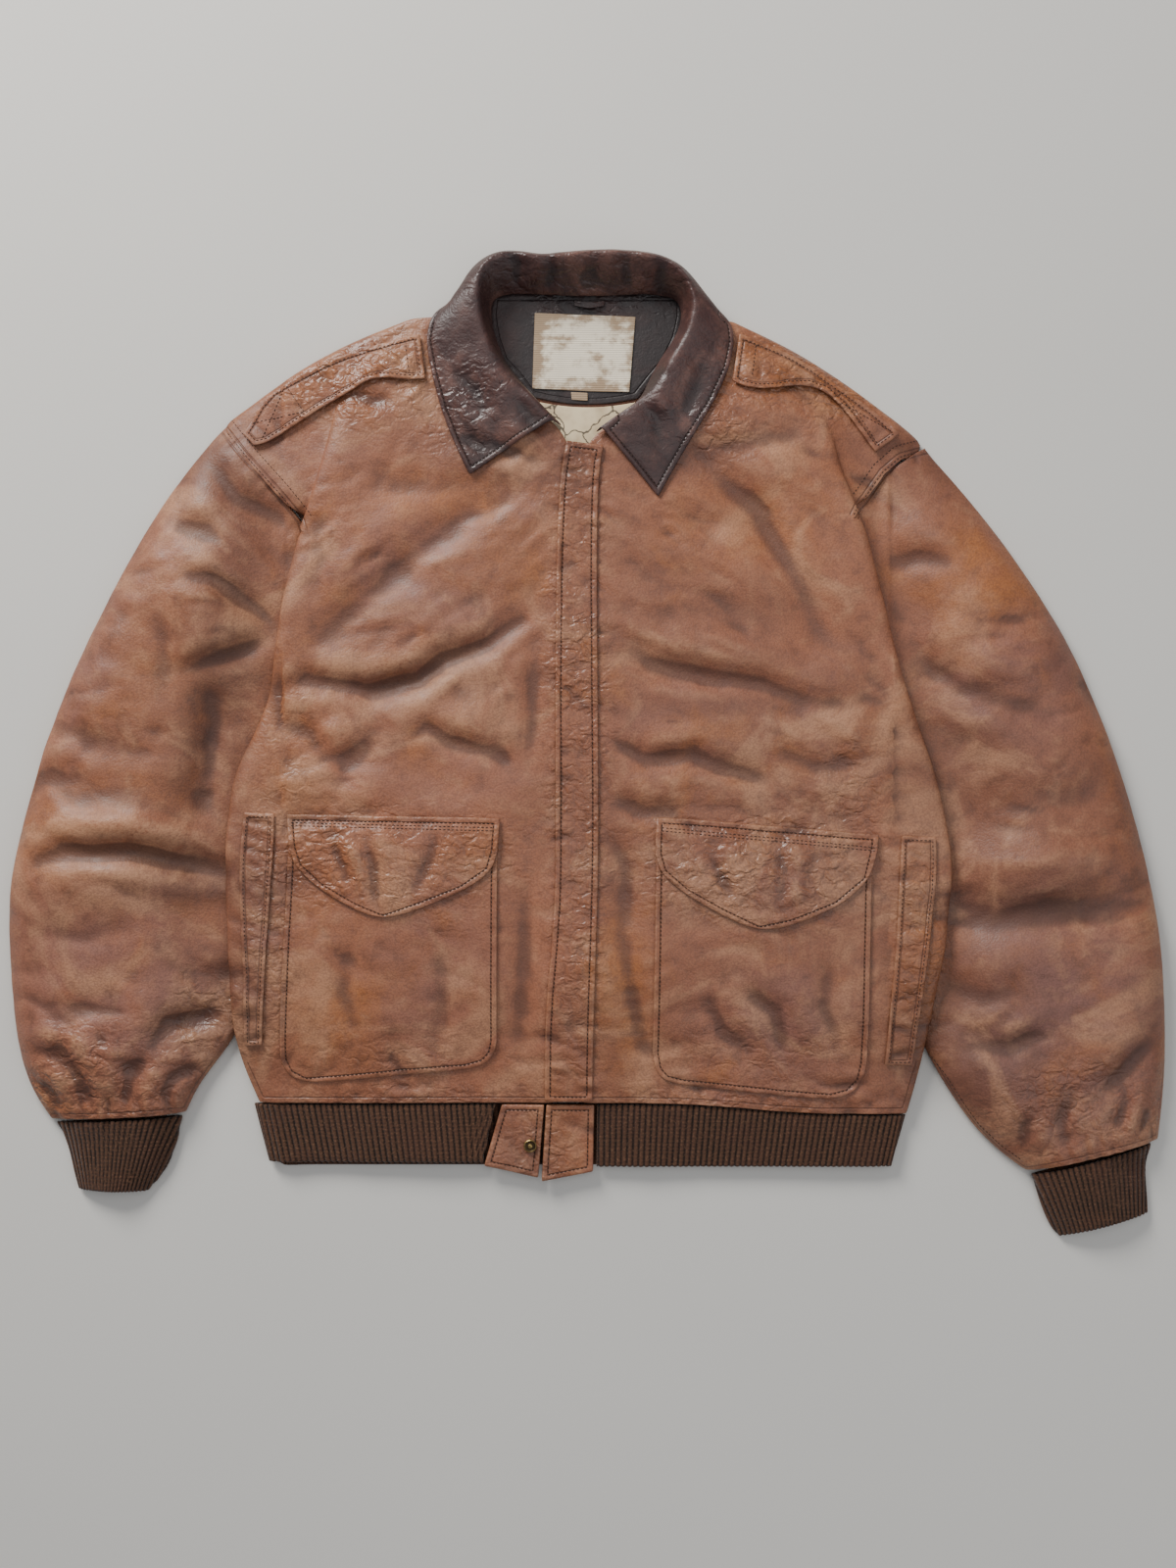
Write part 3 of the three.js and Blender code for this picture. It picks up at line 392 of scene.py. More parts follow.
def build_relief():
    rng = random.Random(7)
    crumple = sizes().crumple / MM
    height = np.zeros((len(RELIEF_Y), len(RELIEF_X)))
    for row, y in enumerate(RELIEF_Y):
        for column, x in enumerate(RELIEF_X):
            lie = lie_of_folds(x, y)
            along, over = math.cos(lie) * x + math.sin(lie) * y, math.cos(lie) * y - math.sin(lie) * x
            bend = 11 * noise.noise(Vector((x / 52, y / 52, 3.1)))
            broad = noise.noise(Vector((along / 110, over / 62, 0.7)))
            mask = min(max(noise.noise(Vector((x / 75, y / 75, 4.4))) * 1.6 + 0.55, 0.12), 1.0)
            long = 0.42 - abs(noise.noise(Vector((along / 60, (over + bend) / 21, 8.3))))
            short = 0.4 - abs(noise.noise(Vector(((along + bend) / 25, (over - bend) / 11, 5.9))))
            height[row, column] = crumple * (3.0 * broad + mask * (1.9 * long + 0.9 * short))
    for points, depth, width, roll in FRONT_FOLDS + SLEEVE_FOLDS + COLLAR_FOLDS:
        press(height, points, FOLD_DEPTH * depth, FOLD_WIDTH * width, roll)
    for points, pitch, reach, depth in GATHERED_SEAMS:
        puckers(height, points, pitch, reach, depth, rng)
    for _ in range(LOOSE_CREASES):
        x, y = rng.uniform(-460, 460), rng.uniform(-330, 330)
        turn = rng.uniform(-0.6, 0.6) + lie_of_folds(x, y)
        half = rng.uniform(9, 30)
        bow = rng.uniform(-5, 5)
        step = Vector((math.cos(turn), math.sin(turn))) * half
        ends = [(x - step.x, y - step.y), (x - bow * math.sin(turn), y + bow), (x + step.x, y + step.y)]
        press(height, ends, rng.uniform(0.4, 1.5), rng.uniform(2.4, 4.8), 0.5)
    for mark in SNAP_PRINTS:
        disc(height, *mark)
    relief["height"] = height
    # Fine ridges and creases of the relief: they lighten the leather's ridges, partly as rubbing and partly
    # as painted highlight, and darken its creases with painted shade
    relief["wear"] = height - blurred(height, 2, 5)


def zones(points, marks):
    """How strongly each point, in millimetres, lies in the listed soft ovals."""
    amount = np.zeros(len(points))
    for x, y, half_x, half_y, weight in marks:
        gap = ((points[:, 0] - x) / half_x) ** 2 + ((points[:, 1] - y) / half_y) ** 2
        amount = np.maximum(amount, weight * np.exp(-0.8 * gap**1.4))
    return amount


def sample(values, points):
    """Heights of the map under points given in millimetres."""
    column = np.clip((points[:, 0] - RELIEF_X[0]) / RELIEF_STEP, 0, len(RELIEF_X) - 1.001)
    row = np.clip((points[:, 1] - RELIEF_Y[0]) / RELIEF_STEP, 0, len(RELIEF_Y) - 1.001)
    c, r = column.astype(int), row.astype(int)
    u, v = column - c, row - r
    low = values[r, c] * (1 - u) + values[r, c + 1] * u
    high = values[r + 1, c] * (1 - u) + values[r + 1, c + 1] * u
    return low * (1 - v) + high * v


# ---- Pieces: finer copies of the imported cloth, with the relief pressed into them ----


def merged_quads(source):
    """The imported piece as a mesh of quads, its loose triangles merged and paired."""
    build = bmesh.new()
    build.from_mesh(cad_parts[source].data)
    bmesh.ops.remove_doubles(build, verts=build.verts, dist=MERGE)
    bmesh.ops.join_triangles(
        build,
        faces=build.faces,
        angle_face_threshold=FLAT_ANGLE,
        angle_shape_threshold=FLAT_ANGLE,
        topology_influence=1.0,
    )
    return build


def rim_lines(build, free=None):
    """Start and end points of the sharp edges round a wall, in millimetres; "free" tells which of
    them are free edges of the leather."""
    sharp = [e for e in build.edges if len(e.link_faces) == 2 and e.calc_face_angle(0) > RIM_ANGLE]
    if free:
        sharp = [e for e in sharp if free((e.verts[0].co + e.verts[1].co) / 2 / MM)]
    starts = np.array([e.verts[0].co for e in sharp]) / MM
    ends = np.array([e.verts[1].co for e in sharp]) / MM
    return starts, ends


def distance_to_lines(points, starts, ends):
    nearest = np.full(len(points), FAR)
    for start, end in zip(starts, ends):
        step = end - start
        share = np.clip(((points - start) @ step) / max(step @ step, 1e-9), 0, 1)
        np.minimum(nearest, np.linalg.norm(points - start - share[:, None] * step, axis=1), out=nearest)
    return nearest


def link(name, mesh):
    piece = bpy.data.objects.new(name, mesh)
    bpy.context.scene.collection.objects.link(piece)
    return piece


def rounded(piece, levels):
    """Applies a subdivision surface to a piece."""
    modifier = piece.modifiers.new("Rounding", "SUBSURF")
    modifier.levels = modifier.render_levels = levels
    modifier.boundary_smooth = "ALL"
    shaped = piece.evaluated_get(bpy.context.evaluated_depsgraph_get())
    mesh = bpy.data.meshes.new_from_object(shaped)
    piece.modifiers.clear()
    piece.data = mesh
    mesh.name = piece.name


def coordinates(mesh, kind="co"):
    values = np.zeros(len(mesh.vertices) * 3)
    if kind == "normal":
        mesh.vertex_normals.foreach_get("vector", values)
    else:
        mesh.vertices.foreach_get("co", values)
    return values.reshape(-1, 3)


def store(mesh, name, values):
    attribute = mesh.attributes.new(name, "FLOAT", "POINT")
    attribute.data.foreach_set("value", values.astype(np.float32))


def hand_over(piece, nodes, material):
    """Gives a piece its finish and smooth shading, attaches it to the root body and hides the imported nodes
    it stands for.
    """
    piece.data.materials.clear()
    piece.data.materials.append(material)
    piece.data.shade_smooth()
    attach(piece, "root")
    if nodes:
        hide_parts(*nodes)


def toward_seam(points, seam):
    """Distance and direction, in plan, from each point to a seam's line."""
    nearest = np.full(len(points), FAR)
    pull = np.zeros((len(points), 2))
    for start, end in zip(seam, seam[1:]):
        start, step = np.array(start, float), np.array(end, float) - start
        share = np.clip(((points[:, :2] - start) @ step) / (step @ step), 0, 1)
        offset = start + share[:, None] * step - points[:, :2]
        gap = np.linalg.norm(offset, axis=1)
        closer = gap < nearest
        nearest = np.where(closer, gap, nearest)
        pull = np.where(closer[:, None], offset / np.maximum(gap, 0.01)[:, None], pull)
    return nearest, pull


def cloth(
    source, name, levels, strength=1.0, edge_roll=0.0, seam=None, lap=0.0, sink=0.0, spread=None, free=None
):
    """A finer copy of a packed cloth piece, with the shared relief and a rolled edge. Beside a seam
    the leather is drawn in by "lap" and sinks by "sink"; "spread" widens and lengthens a piece that
    runs under others; "free" picks its free edges."""
    build = merged_quads(source)
    starts, ends = rim_lines(build, free)
    mesh = bpy.data.meshes.new(name)
    build.to_mesh(mesh)
    build.free()
    piece = link(name, mesh)
    rounded(piece, levels)
    mesh = piece.data
    points = coordinates(mesh) / MM
    up = coordinates(mesh, "normal")[:, 2]
    edge = distance_to_lines(points, starts, ends)
    if seam:
        gap, pull = toward_seam(points, seam)
        last, before = np.array(seam[-1], float), np.array(seam[-2], float)
        past = (points[:, :2] - last) @ (last - before) > 0
        own_edge = np.where(points[:, 1] < SLEEVE_END, edge, EDGE_REACH)
        edge = np.minimum(own_edge, np.where(past, EDGE_REACH, gap))
        near = np.exp(-((gap / SEAM_PULL) ** 2))
        points[:, :2] += pull * (np.minimum(lap * near, gap + lap))[:, None]
        points[:, 2] -= sink * near * (points[:, 2] > SINK_ABOVE)
    if spread:
        scale_x, top = spread
        points[:, 0] *= scale_x
        points[:, 1] += top * np.clip((points[:, 1] - points[:, 1].max() + 20) / 20, 0, 1)
    raised = np.clip((points[:, 2] - RELIEF_FROM) / RELIEF_OVER, 0, 1)
    points[:, 2] += strength * raised * sample(relief["height"], points)
    if edge_roll:
        roll = np.exp(-(((edge - 2.2) / 2.0) ** 2)) - 0.9 * np.exp(-(((edge - 4.8) / 1.5) ** 2))
        points[:, 2] += edge_roll * roll * np.clip(up * 2, 0, 1)
    points[:, 2] = np.maximum(points[:, 2], 0.0)
    mesh.vertices.foreach_set("co", (points * MM).ravel())
    mesh.update()
    store(mesh, "edge", np.clip(edge, 0, EDGE_REACH))
    store(mesh, "wear", strength * raised * sample(relief["wear"], points))
    for key, marks in (("crinkle", CRINKLED), ("cognac", COGNAC), ("soil", DARK_PATCHES_AND_FOLD_SHADE), ("mauve", MAUVE)):
        store(mesh, key, zones(points, marks))
    return piece


# ---- Stitching ----


def contour(mesh, values, level, keep):
    """Lines on a mesh where a value at its vertices passes a level, as lists of points."""
    mesh.calc_loop_triangles()
    points = coordinates(mesh)
    normals = coordinates(mesh, "normal")
    links = {}
    places = {}
    for triangle in mesh.loop_triangles:
        corners = list(triangle.vertices)
        over = [values[v] > level for v in corners]
        if all(over) or not any(over) or min(normals[v][2] for v in corners) < 0.2:
            continue
        crossed = []
        for a, b in ((0, 1), (1, 2), (2, 0)):
            if over[a] != over[b]:
                pair = tuple(sorted((corners[a], corners[b])))
                share = (level - values[pair[0]]) / (values[pair[1]] - values[pair[0]])
                places[pair] = points[pair[0]] + share * (points[pair[1]] - points[pair[0]])
                crossed.append(pair)
        if keep(places[crossed[0]] / MM):
            links.setdefault(crossed[0], []).append(crossed[1])
            links.setdefault(crossed[1], []).append(crossed[0])
    lines = []
    while links:
        ends = [pair for pair, near in links.items() if len(near) == 1]
        here = ends[0] if ends else next(iter(links))
        line = [Vector(places[here])]
        while True:
            near = [n for n in links.get(here, []) if n in links and here in links[n]]
            if not near:
                break
            there = near[0]
            links[here].remove(there)
            links[there].remove(here)
            if not links[here]:
                del links[here]
            here = there
            line.append(Vector(places[here]))
        links = {pair: near for pair, near in links.items() if near}
        if len(line) > 6:
            lines.append(line)
    return lines


def edge_values(piece):
    values = np.zeros(len(piece.data.vertices), np.float32)
    piece.data.attributes["edge"].data.foreach_get("value", values)
    return values


def surface_of(name):
    """A tree of the named piece's surface, to lay threads on."""
    build = bmesh.new()
    build.from_mesh(bpy.data.objects[name].data)
    tree = BVHTree.FromBMesh(build)
    build.free()
    return tree


def dropped(tree, points):
    """Points in millimetres dropped onto a surface from above."""
    landed = []
    for start, end in zip(points, points[1:]):
        steps = max(int((Vector(end) - Vector(start)).length / 4), 1)
        for i in range(steps + 1):
            x, y = Vector(start).lerp(Vector(end), i / steps) * MM
            hit = tree.ray_cast(Vector((x, y, 0.1)), Vector((0, 0, -1)))[0]
            if hit:
                landed.append(hit)
    return landed


def sew(build, tree, line):
    """Lays one stitch after another along a line of points, each a small slug of thread."""
    pitch = sizes().stitch_pitch
    half, thick = sizes().stitch_length / 2, sizes().thread / 2
    row = bmesh.new()
    travelled = pitch / 2
    for start, end in zip(line, line[1:]):
        span = (end - start).length
        if span < 1e-7:
            continue
        while travelled < span:
            place = start.lerp(end, travelled / span)
            normal = tree.find_nearest(place)[1]
            travelled += pitch
            if normal is None:
                continue
            normal = normal if normal.z > 0 else -normal
            along = (end - start).normalized()
            across = normal.cross(along).normalized()
            turn = Matrix((along, across, along.cross(across))).transposed().to_4x4()
            sized = turn @ Matrix.Diagonal((half, thick, thick, 1))
            place = place + normal * thick * 0.5
            matrix = Matrix.Translation(place) @ sized
            bmesh.ops.create_icosphere(row, subdivisions=1, radius=1, matrix=matrix)
        travelled -= span
    mesh = bpy.data.meshes.new("row")
    row.to_mesh(mesh)
    row.free()
    build.from_mesh(mesh)
    bpy.data.meshes.remove(mesh)


# ---- Materials ----


def scale_for(size):
    """Scale of a texture on object coordinates for a pattern of this size in metres."""
    return 1 / size


def node(tree, kind, settings=None, **inputs):
    """Adds one node, with its settings and with each input set or linked."""
    made = tree.nodes.new(kind)
    for key, value in (settings or {}).items():
        setattr(made, key, value)
    for key, value in inputs.items():
        numbered = key[0] == "i" and key[1:].isdigit()
        socket = made.inputs[int(key[1:]) if numbered else key.replace("_", " ")]
        if isinstance(value, bpy.types.NodeSocket):
            tree.links.new(value, socket)
        else:
            socket.default_value = value
    return made


def new_material(name):
    material = bpy.data.materials.new(name)
    material.use_nodes = True
    material.node_tree.nodes.clear()
    return material, material.node_tree


def rgba(value):
    return (*value, 1.0)


def paint(name):
    """One of the jacket's colours, opaque."""
    return rgba(getattr(colours(), name))


def blend(tree, amount, first, second, mode="MIX"):
    mix = node(tree, "ShaderNodeMix", {"data_type": "RGBA", "blend_type": mode}, i0=amount)
    for socket, value in ((mix.inputs[6], first), (mix.inputs[7], second)):
        if isinstance(value, bpy.types.NodeSocket):
            tree.links.new(value, socket)
        else:
            socket.default_value = value
    return mix.outputs[2]


def maths(tree, operation, first, second=0.0):
    return node(tree, "ShaderNodeMath", {"operation": operation}, i0=first, i1=second).outputs[0]


def times(tree, first, second):
    return maths(tree, "MULTIPLY", first, second)


def plus(tree, first, second):
    return maths(tree, "ADD", first, second)


def ranged(tree, value, low, high, out_low=0.0, out_high=1.0):
    """A value eased from one range to another."""
    smooth = {"interpolation_type": "SMOOTHSTEP"}
    made = node(tree, "ShaderNodeMapRange", smooth, i0=value, i1=low, i2=high, i3=out_low, i4=out_high)
    return made.outputs[0]


def own_place(tree):
    """Coordinates in metres, the same for every piece, since all of them have the origin as theirs."""
    return node(tree, "ShaderNodeTexCoord").outputs["Object"]


def attribute(tree, key):
    return node(tree, "ShaderNodeAttribute", {"attribute_name": key}).outputs["Fac"]


def cloud(tree, place, size, detail=2.0, rough=0.5, warp=0.0):
    """Soft noise with features of about this size in metres."""
    texture = {"Scale": scale_for(size), "Detail": detail, "Roughness": rough, "Distortion": warp}
    return node(tree, "ShaderNodeTexNoise", None, Vector=place, **texture).outputs["Fac"]


def cell_edges(tree, place, size):
    """Distance to the edges of irregular cells of about this size in metres."""
    kind = {"feature": "DISTANCE_TO_EDGE"}
    return node(tree, "ShaderNodeTexVoronoi", kind, Vector=place, Scale=scale_for(size)).outputs["Distance"]


def courses(tree, place, size, **inputs):
    """Rows of threads or loops, this far apart in metres."""
    kind, turns = {"bands_direction": "Y"}, 6.3
    return node(
        tree, "ShaderNodeTexWave", kind, Vector=place, Scale=scale_for(size) / turns, **inputs
    ).outputs["Fac"]


def bumped(tree, height, strength, depth):
    return node(tree, "ShaderNodeBump", None, Strength=strength, Distance=depth, Height=height).outputs[0]


def surfaced(tree, tone, rough, **inputs):
    """The shader and output that end a material."""
    shader = node(tree, "ShaderNodeBsdfPrincipled", None, Base_Color=tone, Roughness=rough, **inputs)
    node(tree, "ShaderNodeOutputMaterial", None, Surface=shader.outputs[0])


# Widths in metres of the leather's patterns, from dye that drifts to specks, and of its crinkles
DRIFT, FADED, PATCH, BLOTCH, MOTTLE, RUB, SPECK = 0.13, 0.085, 0.05, 0.04, 0.016, 0.008, 0.003
CRINKLE, FINE_CRINKLE = 0.019, 0.0088


def hide_leather(name, main, dark, light, red, mauve, gloss=0.0, patches=1.0):
    """Finished cowhide, drum dyed and worn: pebble grain, fine crinkles where it has been flexed, edges and
    ridges lightened partly by rubbing and partly with painted highlight, darker patches, painted shade in the
    folds, creases, stitch grooves and at the rims, and cognac patches where the top finish has gone."""
    material, tree = new_material(name)
    place = own_place(tree)

    def amount(key):
        return attribute(tree, key)

    def dye(size, detail=3.0, rough=0.55, warp=0.0):
        return cloud(tree, place, size, detail, rough, warp)

    def cells(size, stretch):
        pushed = blend_coordinates(tree, place)
        turned = {"Scale": (1, stretch, 1), "Rotation": (0, 0, 0.5)}
        mapped = node(tree, "ShaderNodeMapping", None, Vector=pushed, **turned).outputs[0]
        return cell_edges(tree, mapped, size)

    def tint(share, strength, shade):
        return blend(tree, times(tree, share, strength), tone, rgba(shade))

    wear, edge, crinkle = amount("wear"), amount("edge"), amount("crinkle")
    broad, patchy, mottle, speck = dye(DRIFT), dye(PATCH, 5, 0.6, 0.4), dye(MOTTLE, 5), dye(SPECK, 3)
    tone = blend(tree, ranged(tree, broad, 0.3, 0.72, 0.0, 0.35), rgba(main), rgba(dark))
    drift = ranged(tree, patchy, 0.3, 0.66)
    tone = tint(times(tree, amount("mauve"), ranged(tree, patchy, 0.66, 0.36)), 0.75, mauve)
    tone = tint(times(tree, amount("cognac"), drift), 0.85 * patches, red)
    tone = tint(ranged(tree, patchy, 0.55, 0.74), 0.4 * patches, red)
    # Darker patches, and painted shade in strips along the deepest folds and the hem seam
    tone = tint(times(tree, amount("soil"), ranged(tree, patchy, 0.2, 0.6, 0.55, 1.0)), 0.75, dark)
    tone = tint(times(tree, ranged(tree, dye(FADED, 4, 0.6, 1.2), 0.48, 0.68), 0.9), 0.6, light)
    tone = tint(ranged(tree, mottle, 0.5, 0.8), 0.3, light)
    tone = tint(ranged(tree, mottle, 0.5, 0.25), 0.4, dark)
    tone = tint(ranged(tree, dye(BLOTCH, 5, 0.65, 0.8), 0.45, 0.25), 0.25, mauve)
    pebbles = {"Scale": scale_for(sizes().grain), "Smoothness": 0.4}
    grain = node(tree, "ShaderNodeTexVoronoi", {"feature": "SMOOTH_F1"}, Vector=place, **pebbles)
    grain = grain.outputs["Distance"]
    large, small = cells(CRINKLE, 1.9), cells(FINE_CRINKLE, 1.5)
    creased = maths(tree, "MAXIMUM", ranged(tree, large, 0.07, 0.0), ranged(tree, small, 0.08, 0.0, 0.0, 0.7))
    creased = times(tree, creased, ranged(tree, crinkle, 0.0, 0.9, 0.1, 1.0))
    tone = tint(ranged(tree, grain, 0.35, 0.75), 0.25, dark)
    # Painted shade darkening the lines of the crinkles
    tone = tint(creased, 0.32, dark)
    # Ridges lightened, partly real rubbing and partly painted highlight
    rubbed = times(tree, ranged(tree, wear, 0.5, 2.6), ranged(tree, speck, 0.3, 0.62, 0.25, 1.0))
    tone = tint(rubbed, 0.55, light)
    # Painted shade darkening the creases of the relief
    tone = tint(ranged(tree, wear, -0.1, -1.6), 0.68, dark)
    # Edges lightened, partly real rubbing and partly painted highlight along the rolled edge
    worn_and_highlit_edge = times(tree, ranged(tree, edge, 2.4, 1.0), ranged(tree, dye(RUB, 3), 0.4, 0.62))
    tone = tint(worn_and_highlit_edge, 0.22, light)
    # Painted shadow at the very rim of each piece
    tone = tint(ranged(tree, edge, 0.8, 0.1), 0.7, dark)
    # Painted shade in the groove of the stitch row
    groove = times(tree, ranged(tree, edge, 3.8, 4.7), ranged(tree, edge, 5.7, 4.8))
    tone = tint(groove, 0.5, dark)

    pillow = plus(tree, ranged(tree, large, 0.0, 0.26, 0.0, 1.0), ranged(tree, small, 0.0, 0.26, 0.0, 0.5))
    pillow = times(tree, pillow, ranged(tree, patchy, 0.36, 0.62, 0.35, 1.0))
    height = times(tree, pillow, ranged(tree, crinkle, 0.0, 1.0, 0.1, 1.0))
    height = plus(tree, height, times(tree, grain, -0.16))
    height = plus(tree, height, times(tree, mottle, 0.7))
    height = plus(tree, height, times(tree, speck, 0.13))
    height = maths(tree, "SUBTRACT", height, times(tree, groove, 0.5))
    bump = bumped(tree, height, 0.85, 0.001)
    rough = ranged(tree, mottle, 0.3, 0.7, 0.48 - gloss, 0.62 - gloss)
    rough = maths(tree, "SUBTRACT", rough, times(tree, crinkle, 0.18))
    surfaced(tree, tone, rough, Normal=bump, IOR=1.5, Specular_IOR_Level=0.5)
    return material


def blend_coordinates(tree, place):
    """Coordinates pushed about by soft noise, so that a cell pattern loses its regularity."""
    shift = node(tree, "ShaderNodeTexNoise", None, Vector=place, Scale=scale_for(0.011), Detail=2.0)
    shift = shift.outputs["Color"]
    reach = (0.012, 0.012, 0.012)
    pushed = node(
        tree, "ShaderNodeVectorMath", {"operation": "MULTIPLY_ADD"}, i0=shift, i1=reach, i2=place
    )
    return pushed.outputs[0]


def rib_knit(name):
    """Rib-knit wool: rounded ribs over grooves dark with painted shadow, small loops up each rib and a dry
    fuzz.
    """
    material, tree = new_material(name)
    place = own_place(tree)
    loop = 0.0016
    rib = attribute(tree, "rib")
    fuzz = cloud(tree, place, loop, 4.0)
    soil = cloud(tree, place, 0.03, 3.0)
    loops = courses(tree, place, loop, Distortion=3.0, Detail=2.0)
    # Painted shadow in the grooves between the ribs
    tone = blend(tree, ranged(tree, rib, -0.2, 0.85), paint("knit_dark"), paint("knit"))
    tone = blend(tree, ranged(tree, soil, 0.35, 0.7, 0.0, 0.3), tone, paint("hide_dark"))
    tone = blend(tree, ranged(tree, fuzz, 0.5, 0.8, 0.0, 0.2), tone, paint("hide_light"))
    height = plus(tree, times(tree, loops, 0.25), times(tree, fuzz, 0.3))
    bump = bumped(tree, height, 0.8, 0.0009)
    surfaced(tree, tone, 0.95, Normal=bump, Sheen_Weight=0.25, Specular_IOR_Level=0.2)
    return material


def printed_cotton(name):
    """Plain-woven cotton, printed with thin wandering lines on a cream ground."""
    material, tree = new_material(name)
    place = own_place(tree)
    fields = cell_edges(tree, blend_coordinates(tree, place), 0.034)
    line = ranged(tree, fields, 0.022, 0.01)
    soil = cloud(tree, place, 0.02, 3.0)
    tone = blend(tree, ranged(tree, soil, 0.45, 0.8, 0.0, 0.5), paint("lining"), paint("stain"))
    tone = blend(tree, times(tree, line, 0.85), tone, paint("facing"))
    surfaced(tree, tone, 0.85, Normal=bumped(tree, soil, 0.4, 0.0005))
    return material


def woven_label(name):
    """Damask-woven label, cream with brown stains soaked in from its edges."""
    material, tree = new_material(name)
    place = own_place(tree)
    edge = attribute(tree, "edge")
    spread = cloud(tree, place, 0.018, 5.0, 0.65)
    threads = courses(tree, place, 0.0009)
    long = node(tree, "ShaderNodeMapping", None, Vector=place, Scale=(1, 5, 1)).outputs[0]
    brushed = cloud(tree, long, 0.03, 3.0)
    soaked = plus(tree, spread, ranged(tree, edge, 14.0, 0.0, 0.0, 0.16))
    soaked = plus(tree, soaked, ranged(tree, brushed, 0.4, 0.75, 0.0, 0.16))
    tone = blend(tree, ranged(tree, soaked, 0.5, 0.72, 0.0, 0.8), paint("label"), paint("stain"))
    tone = blend(tree, times(tree, threads, 0.12), tone, paint("stain"))
    surfaced(tree, tone, 0.8, Normal=bumped(tree, threads, 0.5, 0.0004))
    return material


def waxed_thread(name):
    """Twisted polyester thread, waxed: dark with a faint sheen."""
    material, tree = new_material(name)
    place = own_place(tree)
    twist = cloud(tree, place, 0.0008)
    tone = blend(tree, ranged(tree, twist, 0.4, 0.7, 0.0, 0.4), paint("thread"), paint("hide_dark"))
    surfaced(tree, tone, 0.6)
    return material


def oxidised_brass(name):
    """Stamped brass, tumbled and oxidised: dark in its ring and bright on its rubbed centre."""
    material, tree = new_material(name)
    place = own_place(tree)
    low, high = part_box("hem_snap")
    middle = (low + high) / 2
    top = (middle.x, middle.y, high.z)
    out = node(tree, "ShaderNodeVectorMath", {"operation": "DISTANCE"}, i0=place, i1=top).outputs["Value"]
    spots = cloud(tree, place, 0.0018, 3.0)
    dark = times(tree, ranged(tree, out, 0.0014, 0.002), ranged(tree, out, 0.0048, 0.0041))
    dark = maths(tree, "MAXIMUM", times(tree, dark, 0.85), ranged(tree, spots, 0.45, 0.7, 0.0, 0.5))
    tone = blend(tree, dark, paint("brass"), paint("facing"))
    rough = ranged(tree, spots, 0.35, 0.7, 0.3, 0.55)
    surfaced(tree, tone, rough, Metallic=1.0)
    return material


def material(name):
    """The named finish, made once."""
    if name in bpy.data.materials:
        return bpy.data.materials[name]
    c = colours()
    # In each hide the second colour also paints shade in folds, creases, stitch grooves and rims, and the
    # third also paints highlight on ridges and edges
    hides = {
        "Worn cowhide": (c.hide, c.hide_dark, c.hide_light, c.hide_red, c.hide_mauve),
        "Dark collar hide": (c.collar, c.facing, c.collar_light, c.collar, c.collar, 0.04, 0.2),
        "Black facing hide": (c.facing, c.facing, c.collar, c.facing, c.facing, 0.0, 0.0),
    }
    others = {
        "Rib-knit wool": rib_knit,
        "Printed cotton": printed_cotton,
        "Woven label": woven_label,
        "Waxed thread": waxed_thread,
        "Oxidised brass": oxidised_brass,
    }
    return hide_leather(name, *hides[name]) if name in hides else others[name](name)


# ---- Operators ----


class JACKET_OT_body(bpy.types.Operator):
    """Back, fronts and sleeves of worn leather"""

    bl_idname = "jacket.body"
    bl_label = "Body and Sleeves"

    def execute(self, context):
        build_relief()
        pieces = [
            ("back_panel", 2, (0.58, 0.66), 0.335, (), {}),
            ("front_right", 3, (0.33, 0.65), 0.185, ("back_panel",), {"seam": ARMHOLES["right"], "lap": 1.6}),
            ("front_left", 3, (0.35, 0.65), 0.192, ("back_panel",), {"seam": ARMHOLES["left"], "lap": 1.6}),
            ("sleeve_right", 3, (0.37, 0.60), 0.19, (), {"seam": ARMHOLES["right"], "lap": 4.5, "sink": 0.8}),
            ("sleeve_left", 3, (0.37, 0.62), 0.19, (), {"seam": ARMHOLES["left"], "lap": 4.5, "sink": 0.8}),
        ]
        for name, levels, flat, area, below, seam in pieces:
            piece = cloth(name, f"{name}_hide", levels, **seam)
            hand_over(piece, [name], material("Worn cowhide"))
        return {"FINISHED"}


class JACKET_OT_trim(bpy.types.Operator):
    """Pockets, flaps, welts, wind flap, shoulder straps and hem tabs"""

    bl_idname = "jacket.trim"
    bl_label = "Leather Trim"

    def execute(self, context):
        pieces = [
            ("pocket_right", 3, (0.18, 0.21), 0.034, "front_right"),
            ("pocket_left", 3, (0.18, 0.212), 0.036, "front_left"),
            ("pocket_flap_right", 3, (0.175, 0.088), 0.0112, "pocket_right"),
            ("pocket_flap_left", 3, (0.181, 0.094), 0.012, "pocket_left"),
            ("welt_right", 3, (0.027, 0.19), 0.0040, "front_right"),
            ("welt_left", 3, (0.03, 0.19), 0.005, "front_left"),
            ("wind_flap", 3, (0.038, 0.535), 0.0195, "front_left"),
            ("shoulder_strap_right", 3, (0.04, 0.165), 0.0051, "front_right"),
            ("shoulder_strap_left", 3, (0.033, 0.15), 0.0036, "front_left"),
            ("hem_tab_right", 3, (0.048, 0.06), 0.0024, "hem_rib"),
            ("hem_tab_left", 3, (0.043, 0.063), 0.0026, "hem_rib"),
        ]
        for name, levels, flat, area, below in pieces:
            piece = cloth(name, f"{name}_hide", levels, edge_roll=0.26)
            hand_over(piece, [name], material("Worn cowhide"))
        return {"FINISHED"}


def collar_free_edge(place):
    """True on the collar's outer edges, and not along its roll or its seam with the neck."""
    return place.y < 258 or abs(place.x) > 60 + 0.45 * (place.y - 262)


